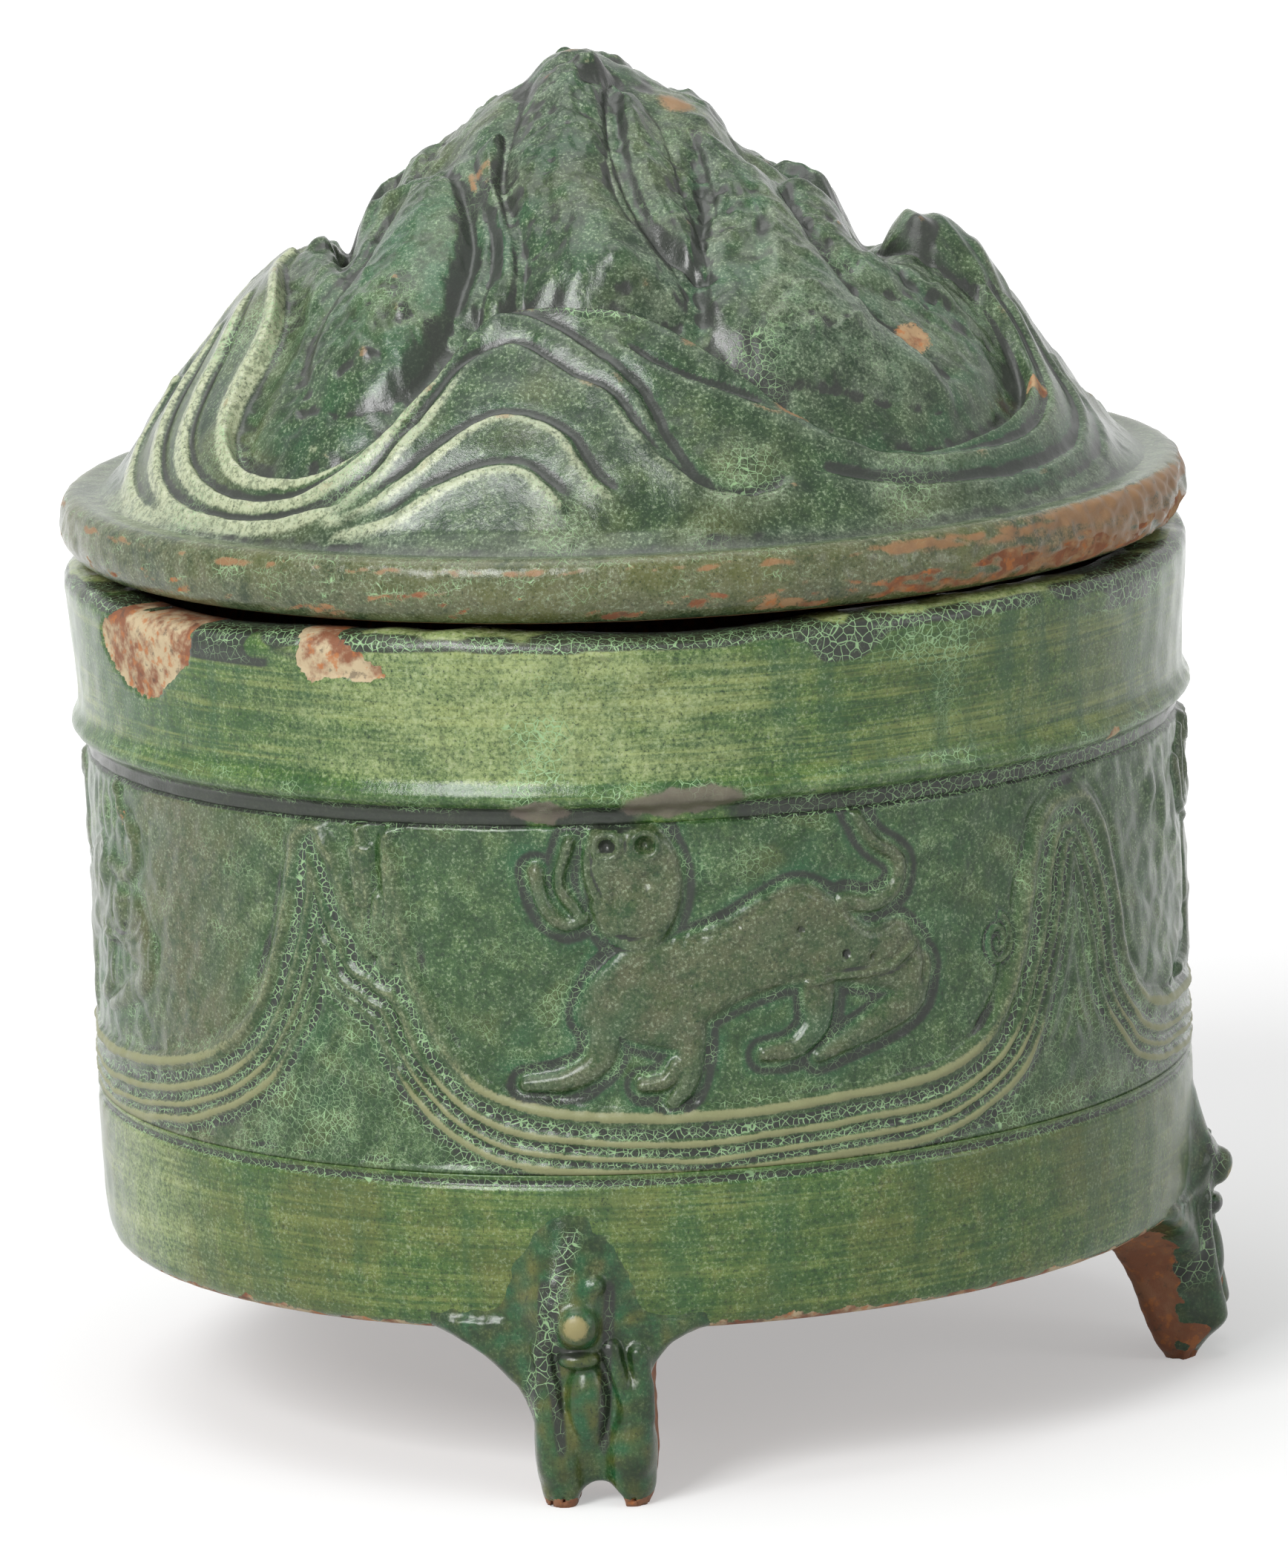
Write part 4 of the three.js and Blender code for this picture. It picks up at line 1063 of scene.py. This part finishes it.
# The same mountains' outlines as azimuth and radius, each with its height and the width of its edge
mountain_faces = [
    ([(-70, 9), (-46, 14), (-34, 23), (-28, 31), (-20, 39), (-15, 47), (-14, 54), (-8, 57.5), (4, 57.5),
      (14, 57), (15, 51), (12, 45), (8, 40), (6, 32), (9, 24), (18, 15), (50, 8)], 5.2, 3.6),
    ([(-66, 34), (-58, 43), (-54, 50), (-53, 59), (-50, 67), (-45, 72), (-37, 72), (-30, 66),
      (-27, 57), (-27, 49), (-30, 42), (-37, 36), (-47, 31)], 4.6, 4.6),
    ([(-46, 27), (-32, 35.5), (-24, 43), (-22, 50), (-22, 57), (-17.5, 57), (-16.5, 50),
      (-20, 42), (-28, 33), (-40, 22)], 3.0, 1.7),
    ([(24, 11), (13, 17), (9, 25), (9, 33), (11, 40), (15, 46), (20, 52), (23, 46), (25, 38), (31, 28),
      (42, 17)], 4.0, 2.6),
    ([(46, 25), (34, 37), (26, 46), (20, 53), (18, 61), (22, 67), (31, 71), (42, 75), (50, 76), (50, 70),
      (46, 63), (46, 56), (49, 47), (55, 39), (66, 32)], 4.8, 4.8),
    ([(80, 25), (64, 35), (56, 44), (53, 52), (57, 60), (65, 57), (74, 47), (86, 38), (96, 30)], 3.0, 3.4),
    ([(-92, 30), (-74, 32), (-64, 41), (-59, 50), (-59, 59), (-65, 58), (-71, 51), (-80, 43), (-92, 38)],
     2.6, 2.6),
]
# Rounded side peaks where the waves' crests turn uphill, as x, y, half width and height
side_peaks = [(58, -4, 11.5, 7.5), (-50.8, -1, 3.2, 1.5)]
# How far the skyline dips below the hill's even slope, by x, between the peaks seen from the front
skyline_dips = [
    (-74, 0), (-66, -1.9), (-61, -2.2), (-57, -2.2), (-54, -0.8), (-51.5, 1), (-49, 3.8),
    (-46.5, 8.6), (-43.5, 4), (-38, 2.4), (-35, 0.4), (-30, 0.3), (-22, -0.8), (-18, 0),
    (-14, 1.8), (-10, 1), (1.5, 1), (4.5, -0.3), (9, -0.7), (16.5, -2.7), (20, -0.6), (24, 2.7),
    (34, 2.4), (38.5, 2.5), (41.5, 5.5), (44, 8.4), (46.5, 5.6), (49.5, 2), (52, -0.6),
    (55, -1.6), (58, -2.9), (62, -3.4), (64.5, -5.2), (67, -6), (70, -8.6), (74, -9), (80, -6),
    (86, 0),
]
# Waves of raised lines as (azimuth, radius), each with its height, the length of its outer slope
# and the depth of the groove on its uphill side
hill_lines = [
    ([(-85, 61), (-79, 65), (-74.5, 70), (-71.5, 75.5), (-67, 81), (-61, 84.6), (-53, 86.6), (-46, 87),
      (-40, 86), (-35, 83.5), (-31, 80), (-27, 75)], 1.5, 3.0, 0.9),
    ([(-91, 66), (-85, 71.5), (-80, 77), (-75, 82), (-69, 85.8), (-62, 88.3), (-53, 89.6), (-43, 89.4),
      (-35, 87), (-30, 83.5), (-27, 79), (-24, 74), (-21, 69), (-18, 66.5), (-14, 65.5),
      (-10, 67.5), (-6, 70), (-1, 73), (2, 78), (5, 82.5), (9, 86), (16, 87.5)], 1.5, 3.0, 0.9),
    ([(-96, 74), (-90, 79.5), (-83, 84.5), (-76, 88), (-68, 90.2), (-60, 91)], 1.1, 2.2, 0.6),
    ([(-37, 89.3), (-30, 86.8), (-25, 83), (-22, 80), (-19, 77.5), (-15, 75.5), (-11, 76),
      (-7, 78), (-5, 81), (-3, 84), (1, 87)], 1.3, 2.6, 0.8),
    ([(-36, 91), (-27, 88.2), (-22, 84.8), (-16, 82.3), (-11, 82.5), (-8, 85), (-5, 88)],
     1.1, 2.2, 0.6),
    ([(-21, 64), (-17, 61.5), (-12, 61.3), (-6, 64.5), (-1, 68.3), (3, 73), (5, 79), (8, 84),
      (12, 86.5), (18, 86), (22, 84)], 1.4, 2.8, 0.9),
    ([(0, 64), (5, 68), (10, 71), (15, 73.5), (20, 76.5), (25, 80.5), (31, 83), (38, 84.5),
      (48, 85), (57, 84.5), (66, 82), (72, 78.5), (77, 74), (82, 67), (87, 59)], 1.5, 3.0, 0.9),
    ([(22, 84), (29, 86.3), (38, 87.6), (50, 88.3), (62, 87.6), (71, 85.3), (79, 80.5), (84, 74),
      (89, 66)], 1.4, 2.8, 0.8),
    ([(44, 91), (56, 91), (68, 89.5), (78, 85.5), (85, 80), (90, 73)], 1.0, 2.2, 0.5),
    ([(6, 63), (12, 66.5), (17, 71), (22, 76), (27, 80), (33, 82.3)], 0.8, 1.8, 0.5),
]
# Lines over the upper mountains, in the same form. A height below 0 turns the line's slope to its
# other side.
mountain_lines = [
    ([(-66, 36), (-58, 43), (-54, 50), (-53, 59), (-50, 66), (-47, 71)], -1.3, 4.5, 0.8),
    ([(-59, 28), (-44, 31), (-33, 36), (-27, 42), (-25, 49), (-25, 57)], -1.1, 2.0, 0.9),
    ([(-34, 32), (-22, 40), (-18, 48), (-17, 55)], -0.9, 2.0, 0.5),
    ([(20, 12), (11, 20), (8, 29), (9, 38), (12, 45), (17, 51), (22, 56)], 1.1, 3.0, 0.8),
    ([(44, 28), (33, 38), (25, 46), (20, 53), (18, 61)], -1.1, 3.0, 0.8),
    ([(55, 33), (45, 42), (38, 49), (31, 56)], -0.6, 2.4, 0.4),
    ([(70, 33), (55, 40), (49, 47), (46, 56), (46, 63), (49, 70), (53, 75)], 1.4, 4.5, 0.8),
    ([(-88, 36), (-74, 42), (-67, 50), (-66, 58)], 0.8, 2.4, 0.5),
    ([(84, 38), (73, 46), (67, 54), (66, 62), (69, 69)], -0.9, 2.6, 0.5),
]
# Rough lumps, small beasts among them, as azimuth, radius, half sizes round and down, height, turn
hill_lumps = [
    (-90, 42, 9, 9, -3.6, 0), (-82, 66, 3, 4, 0.6, 0), (13, 9, 3.5, 3.5, 2.0, 0),
    (22, 22, 3.5, 7, 1.0, 10), (20, 32, 3, 6, 0.9, -10), (4, 52, 3.6, 4.4, 1.4, 20),
    (-45, 60, 3.5, 2.2, 1.1, 30), (-40, 66, 3.2, 1.8, 1.0, -20), (-50, 53, 2.6, 2.2, 0.9, 0),
    (-36, 60, 2.2, 3.0, 0.9, 40), (-45, 44, 3.2, 4.2, 0.8, 15), (36, 60, 3.8, 2.0, 1.1, -30),
    (40, 66, 4.2, 1.6, 1.2, 25), (33, 66, 2.0, 2.6, 1.0, 0), (46, 62, 2.6, 3.2, 0.9, 35),
    (42, 54, 3, 3.5, 0.7, 0), (55, 56, 3, 4, 0.8, 20), (-62, 44, 3, 4, 0.7, -10),
    (30, 46, 2.4, 4.5, 0.8, 20), (52, 70, 2.5, 1.8, 0.6, 0),
]


def unrolled(azimuth, radius, middle):
    """A place on the hill's slope laid flat, so that lengths on it are true, in mm."""
    turn = np.radians(wrapped(np.asarray(azimuth, float) - middle)) / slant
    out = slant * np.asarray(radius, float)
    return out * np.sin(turn), -out * np.cos(turn)


def sheet(beyond, height, lipped=1.0):
    """A sheet of clay that starts at a crest: a hollow behind, a rounded lip and a long step."""
    steep = 0.45 * np.clip(height - 4.5, 0, None)
    lip = 0.3 * height * hump(beyond - 1.8 - steep, 2.2 + steep)
    groove = np.minimum(0.8 * height, 3.4) * hump(beyond + 4.6 + steep, 3.8)
    return height * eased(-2 - 1.5 * steep, 1.6 + 1.5 * steep, beyond) + lipped * (lip - groove)


def beyond_crest(crest, azimuth, radius):
    """How far each place lies outside a crest that runs round the whole hill."""
    beyond = np.zeros(azimuth.shape)
    for middle in (0, 180):
        half = np.abs(wrapped(azimuth - middle)) <= 90.5
        nearby = [(a, r) for a, r in crest if abs(wrapped(a - middle)) < 130]
        line = np.array(sorted((float(wrapped(a - middle)) + middle, r) for a, r in nearby))
        flat = smooth_line(np.stack(unrolled(line[:, 0], line[:, 1], middle), 1), step=2)
        beyond[half] = -beside(flat, *unrolled(azimuth[half], radius[half], middle))[0]
    return beyond


def ridge_relief(azimuth, radius, points, top, slope, groove):
    """A rolled line on the hill: its height, and marks on its top and in the groove beside it."""
    middle = np.mean([a for a, _ in points])
    flat = smooth_line(np.stack(unrolled(*np.array(points, float).T, middle), 1))
    u, v = unrolled(azimuth, radius, middle)
    near = around(flat, u, v, 10) & (np.abs(wrapped(azimuth - middle)) < 120)
    beyond, along, length = beside(flat, u[near], v[near])
    beyond = -beyond if top > 0 else beyond
    fade = eased(0, 6, along) * eased(0, 6, length - along)
    falling = np.exp(-((np.clip(beyond - 0.6, 0, None) / slope) ** 1.5))
    cord = abs(top) * np.where(beyond < 0.6, hump(beyond - 0.6, 1.3), falling)
    made, on_top, in_groove = np.zeros((3,) + azimuth.shape)
    wide = 1.1 if slope == 3.0 else 1.5
    made[near] = fade * (cord - groove * hump(beyond + 1.0 + wide, wide))
    on_top[near] = fade * hump(beyond - 0.7, 1.5)
    in_groove[near] = fade * hump(beyond + 1.0 + wide, wide) * min(1, abs(top))
    return made, on_top, in_groove


def spur(x, y, x0, y0, x1, y1, half, top):
    """A rounded ridge between two points of the hill's plan."""
    length = (x1 - x0) ** 2 + (y1 - y0) ** 2
    t = np.clip(((x - x0) * (x1 - x0) + (y - y0) * (y1 - y0)) / length, 0, 1)
    away = np.hypot(x - x0 - t * (x1 - x0), y - y0 - t * (y1 - y0)) / half
    return top * np.clip(1 - away**2, 0, 1) ** 1.3


azimuths = np.arange(hill_columns) / hill_columns * 360 - 180
radii = [np.arange(93.2, 46, -0.38), np.linspace(46, 20, 54), np.linspace(19.4, 0.8, 24)]
azimuth, radius = np.meshgrid(azimuths, np.concatenate(radii))
x, y = round_axis(azimuth, radius)
x = x + summit_offset * np.clip(1 - radius / hill_foot, 0, 1)
beyond_wave = beyond_crest(wave_crest, azimuth, radius)
beyond_peak = beyond_crest(peak_crest, azimuth, radius)
step_height = through(wave_height, azimuth, 360)
foot_fade = eased(0, 3.5, 92 - radius)
low_fade = eased(0, 8, 92 - radius)
at_right, at_left = hump(wrapped(azimuth - 90), 15), hump(wrapped(azimuth + 90), 11)
at_sides = at_right + at_left
step_height = step_height * (1 - 0.3 * at_left - 0.85 * at_right)
relief = low_fade * sheet(beyond_wave, step_height, 1 - at_sides)
above_wave = 1 - eased(-6, 1, beyond_wave)
side_only = hump(wrapped(azimuth - 75), 18) + hump(wrapped(azimuth + 75), 18)
side_only += hump(wrapped(azimuth - 105), 18) + hump(wrapped(azimuth + 105), 18)
relief += (0.6 * np.clip(side_only, 0, 1) * eased(10, 26, radius)
           * sheet(beyond_peak, peak_height) * above_wave)
masses = np.zeros(azimuth.shape)
for values in summit_spurs:
    masses = -blended(-masses, -0.4 * spur(x, y, *values), 0.8)
faces = np.zeros(azimuth.shape)
for turn in (0, 180):
    for corners, top, edge in mountain_faces:
        corners = np.array(corners, float) + [turn, 0]
        middle = corners[:, 0].mean()
        outline = smooth_line(np.stack(unrolled(*corners.T, middle), 1), closed=True)
        u, v = unrolled(azimuth, radius, middle)
        near = around(outline, u, v, 1) & (np.abs(wrapped(azimuth - middle)) < 110)
        depth = np.clip(inside(outline, u[near], v[near]), 0, None)
        faces[near] = np.maximum(faces[near], top * (1 - np.exp(-depth / edge)))
masses = masses + faces
dome = 0.075 * hill_height * np.clip(1 - np.hypot(x - summit_offset, y) ** 2 / 215, 0, 1) ** 1.3
relief += np.maximum(masses * above_wave, dome)
for peak_x, peak_y, half, top in side_peaks:
    relief += top * np.clip(1 - np.hypot(x - peak_x, y - peak_y) ** 2 / half**2, 0, 1) ** 0.8
relief -= through(skyline_dips, x) * eased(-30, -12, y) * eased(50, 28, y) * (1 - eased(64, 80, radius))
right_peak = hump(np.hypot(x - 54.5, y + 9), 2.4)
relief += 0.9 * right_peak
fine, cord_top, cord_groove = np.zeros((3,) + azimuth.shape)
for turn in (0, 180):
    for lines, cover in ((hill_lines, foot_fade), (mountain_lines, above_wave)):
        for points, *shape in lines:
            line = [(a + turn, r) for a, r in points]
            made, on_top, in_groove = ridge_relief(azimuth, radius, line, *shape)
            fine += cover * made * (1 - 0.9 * at_sides * eased(74, 62, radius))
            cord_top = np.maximum(cord_top, cover * on_top)
            cord_groove = np.maximum(cord_groove, cover * in_groove)
    for at, out, round_half, down_half, top, lean_angle in hill_lumps:
        u, v = unrolled(azimuth, radius, at + turn)
        v = v + slant * out
        c, s = math.cos(math.radians(lean_angle)), math.sin(math.radians(lean_angle))
        ahead = np.abs(wrapped(azimuth - at - turn)) < 60
        away = np.hypot((c * u + s * v) / round_half, (c * v - s * u) / down_half)
        fine += ahead * top * np.clip(1 - away**2, 0, 1) ** 1.5
level = hill_base + hill_height * through(hill_slope, radius / hill_foot)
level += 1.1 * hump(radius - 89.2, 2.6) - 0.32 * np.clip(radius - hill_foot, 0, None)
rough_zone = above_wave * (0.35 + 0.65 * eased(-0.3, 0.8, rolling(x, y, level, 18, 71)))
fine += rough_zone * (0.28 * rolling(x, y, level, 4.2, 72) + 0.2 * rolling(x, y, level, 2.3, 73))
fine += 0.07 * rolling(x, y, level, 3.2, 74) + 0.12 * rolling(x, y, level, 9, 75)
height = np.minimum(level + relief + foot_fade * fine, summit_top)
whole = relief + fine
form = softened(whole, 3) - whole
broad = softened(whole, 10) - whole
hollow = np.clip(eased(0.1, 0.5, form) + 0.6 * eased(0.5, 1.8, broad), 0, 1)
raised = eased(0.06, 0.35, -form)
across = np.gradient(whole, axis=1) / (np.clip(radius, 8, None) * math.radians(360 / hill_columns))
# Painted shade on the mountains' steep sides.
shaded_flank = eased(0.35, 1.1, np.abs(across)) * above_wave
crest_top = hump(beyond_wave - 1.2, 2.0)
left_side = hump(wrapped(azimuth + 66), 31) * eased(40, 60, radius)
front_low = hump(wrapped(azimuth + 18), 30) * eased(66, 80, radius)
uneven = rolling(x, y, level, 20, 76)
patchy = rolling(x, y, level, 8, 77)
left_face = hump(np.hypot(wrapped(azimuth + 40) / 15, (radius - 50) / 15), 1)
# Painted reflections: silvery streaks down the front of the summit and patches over the upper mountains.
sheen_streaks = hump(np.hypot((x + 9.5) / 3, (y + 12) / 9), 1) + hump(np.hypot((x + 17) / 2, (y + 26) / 9), 1)
sheen_streaks += 0.8 * hump(np.hypot(wrapped(azimuth - 44) / 13, (radius - 63) / 9), 1)
sheen_streaks += 0.7 * hump(np.hypot(wrapped(azimuth - 12) / 7, (radius - 52) / 8), 1)
right_side = hump(wrapped(azimuth - 62), 26) * eased(30, 45, radius)
knob = hump(np.hypot(x - 12, y + 9), 4.5)
scar = np.maximum(hump(np.hypot((wrapped(azimuth - 52)) / 4.5, (radius - 66) / 2.6), 1),
                  hump(np.hypot((wrapped(azimuth - 67)) / 2.5, (radius - 79) / 2.0), 1))
orange_ridge = np.maximum(hump(np.hypot(wrapped(azimuth - 24) / 5, (radius - 76) / 2.2), 1),
                          hump(np.hypot(wrapped(azimuth + 38) / 4, (radius - 31) / 2.5), 1))
# Painted shade: a dark band along the front of the waves' crest.
shaded_crest = hump(beyond_wave - 0.8, 2.2) * hump(wrapped(azimuth + 8), 18)
cream = left_side * np.maximum(cord_top * (1 - above_wave), crest_top) * (1 - 0.8 * cord_groove)
foot_band = hump(radius - 91.5, 2.2)
marks = {
    "umber": np.clip(0.65 * left_side * cord_groove + 0.55 * right_side * (1 - sheen_streaks), 0, 1),
    # Pooled glaze in the hollows and grooves, with painted shade on steep sides and along the crest.
    "pool_and_shade": np.clip(0.75 * hollow * (1 - 0.3 * left_side) + 0.4 * cord_groove * (1 - 0.6 * left_side)
                    + 1.0 * right_peak + 0.1 * left_face + 0.8 * shaded_crest
                    + 0.35 * above_wave * eased(0.2, 1, patchy) + 0.5 * shaded_flank - cream, 0, 1),
    "lush": np.clip(0.7 * cord_groove * (1 - 0.6 * left_side) + 0.8 * left_face + 0.45 * right_side
                    + 0.4 * above_wave * eased(-0.2, 0.8, -patchy), 0, 1),
    # Pale where the glaze ran thin on the left's cords and crest. Over the left side as a whole, on raised
    # tops and round the foot, it is painted light.
    "thinned_and_lit": np.clip(1.25 * cream + 0.12 * left_side
                    + 0.4 * front_low * np.maximum(raised, cord_top)
                    + 0.4 * foot_band * left_side + 0.15 * raised, 0, 1),
    "olive": np.clip(0.25 + 0.35 * uneven + 0.5 * knob + 0.4 * left_side * cord_groove, 0, 1),
    # Painted sheen: silvery grey on the streaks, in broad hollows, on the cords and round the foot.
    "painted_sheen": np.clip(0.9 * sheen_streaks + 0.1 * above_wave * (1 - shaded_flank)
                    + 0.4 * eased(0.3, 1.2, broad) * eased(-0.8, 0.4, patchy) + 0.2 * uneven
                    + 0.5 * cord_top * (1 - left_side) + 0.4 * foot_band, 0, 1),
    "crackle": np.clip(0.25 + 0.22 * uneven + 0.55 * shaded_crest + 0.1 * raised, 0, 1),
    "edge": np.clip(0.4 * raised * (0.4 + 0.6 * patchy) + 0.8 * knob + 0.6 * orange_ridge, 0, 1),
    "bare": np.clip(0.9 * scar + 0.6 * knob * eased(0, 0.8, patchy) + 0.45 * orange_ridge, 0, 1),
    "inner": np.zeros(azimuth.shape),
}
# The hollow underneath follows the slope. Its last two rows lie level, inside the hill's foot.
roof_radii = [0.8, 13, 26, 40, 53, 66, 75.6]
roof = [through(hill_slope, r / hill_foot) * hill_height + hill_base - shell for r in roof_radii]
roof = np.maximum(roof, hill_base + 0.6).tolist() + [hill_base + 0.2, hill_base - 1.0]
under_radius, under_azimuth = np.meshgrid(roof_radii + [76, 88], azimuths, indexing="ij")
under_x, under_y = round_axis(under_azimuth, under_radius)
under_z = np.repeat(np.array(roof)[:, None], hill_columns, 1)
hidden = {"bare": 1.0, "inner": 1.0}
marks = {
    mark: np.vstack([np.full(under_x.shape, hidden.get(mark, 0.0)), values])
    for mark, values in marks.items()
}
mountain = turned_skin(
    "lid_mountain", np.vstack([under_x, x]), np.vstack([under_y, y]), np.vstack([under_z, height]),
    marks, poled=True,
)
mountain.data.materials.append(lead_glaze(
    "hill_glaze",
    deep=(0.010, 0.03, 0.011, 1), mid=(0.035, 0.08, 0.028, 1), light=(0.11, 0.165, 0.075, 1),
    worn=(0.3, 0.17, 0.08, 1), thin_and_lit_colour=(0.52, 0.56, 0.36, 1),
    buff=(0.42, 0.28, 0.15, 1), speckle=0.36, net_size=1.3,
))
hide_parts("lid_hill")
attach(mountain, "lid")

# Studio. A pale floor that fades to white, soft lamps from the upper left, the front and the
# right, and a long lens a little above the jar, as in the photograph.
bpy.ops.mesh.primitive_plane_add(size=8)
ground = bpy.context.active_object
ground.name = "studio_floor"
material = bpy.data.materials.new("studio_paper")
material.use_nodes = True
tree = material.node_tree
paper = tree.nodes["Principled BSDF"]
paper.inputs["Base Color"].default_value = (0.6, 0.6, 0.6, 1)
paper.inputs["Roughness"].default_value = 0.9
paper.inputs["Specular IOR Level"].default_value = 0.1
paper.inputs["Emission Color"].default_value = (1, 1, 1, 1)
start = Flow(tree, tree.nodes.new("ShaderNodeTexCoord").outputs["Object"])
away = start.node("ShaderNodeVectorMath", {"operation": "LENGTH"}, {0: start}, output=1)
seen = start.node("ShaderNodeLightPath", {}, {}, output="Is Camera Ray")
for ray in ("Is Glossy Ray", "Is Transmission Ray"):
    seen = seen.maths("MAXIMUM", start.node("ShaderNodeLightPath", {}, {}, output=ray))
glow = seen * (0.38 + 0.5 * away.rise(0.2, 0.9))
tree.links.new(glow.socket, paper.inputs["Emission Strength"])
ground.data.materials.append(material)

world = bpy.data.worlds.new("studio_light")
bpy.context.scene.world = world
world.use_nodes = True
backdrop = world.node_tree.nodes["Background"]
room_light = 0.39  # how bright the white room is as a lamp, where 1 is how bright it looks
tree = world.node_tree
seen = Flow(tree, tree.nodes.new("ShaderNodeLightPath").outputs["Is Camera Ray"])
for ray in ("Is Glossy Ray", "Is Transmission Ray"):
    seen = seen.maths("MAXIMUM", seen.node("ShaderNodeLightPath", {}, {}, output=ray))
strength = room_light + (1 - room_light) * seen
tree.links.new(strength.socket, backdrop.inputs["Strength"])
backdrop.inputs["Color"].default_value = (1, 1, 1, 1)


def soft_lamp(name, place, aim, size, power):
    """A square soft lamp that points at a place, all in metres and watts."""
    light = bpy.data.lights.new(name, "AREA")
    light.size, light.energy = size, power
    lamp = bpy.data.objects.new(name, light)
    lamp.location = place
    lamp.rotation_euler = (Vector(aim) - Vector(place)).to_track_quat("-Z", "Y").to_euler()
    bpy.context.scene.collection.objects.link(lamp)


soft_lamp("lamp_left", (-0.95, -1.35, 1.25), (0, 0, 0.12), 0.8, 32)
soft_lamp("lamp_top", (-0.25, 0.0, 1.5), (0, 0, 0.12), 1.1, 9)
soft_lamp("lamp_right", (1.4, -0.7, 0.7), (0, 0, 0.12), 0.5, 2.5)

camera_distance = 1.7
camera_height = 0.433
camera_side = 0.0017
camera_pitch = math.radians(10.92)
camera_roll = math.radians(2.26)
focal_pixels = 13175
photo_pixels = 2114  # the photograph's height
camera = bpy.data.cameras.new("camera")
camera.sensor_width = 36
camera.lens = 36 * focal_pixels / photo_pixels
camera.clip_start, camera.clip_end = 0.1, 20
viewer = bpy.data.objects.new("camera", camera)
viewer.location = (axis_x / 1000 + camera_side, axis_y / 1000 - camera_distance, camera_height)
viewer.rotation_mode = "QUATERNION"
level_view = Matrix.Rotation(math.pi / 2 - camera_pitch, 3, "X")
viewer.rotation_quaternion = (level_view @ Matrix.Rotation(-camera_roll, 3, "Z")).to_quaternion()
bpy.context.scene.collection.objects.link(viewer)
bpy.context.scene.camera = viewer
bpy.context.scene.view_settings.view_transform = "Standard"
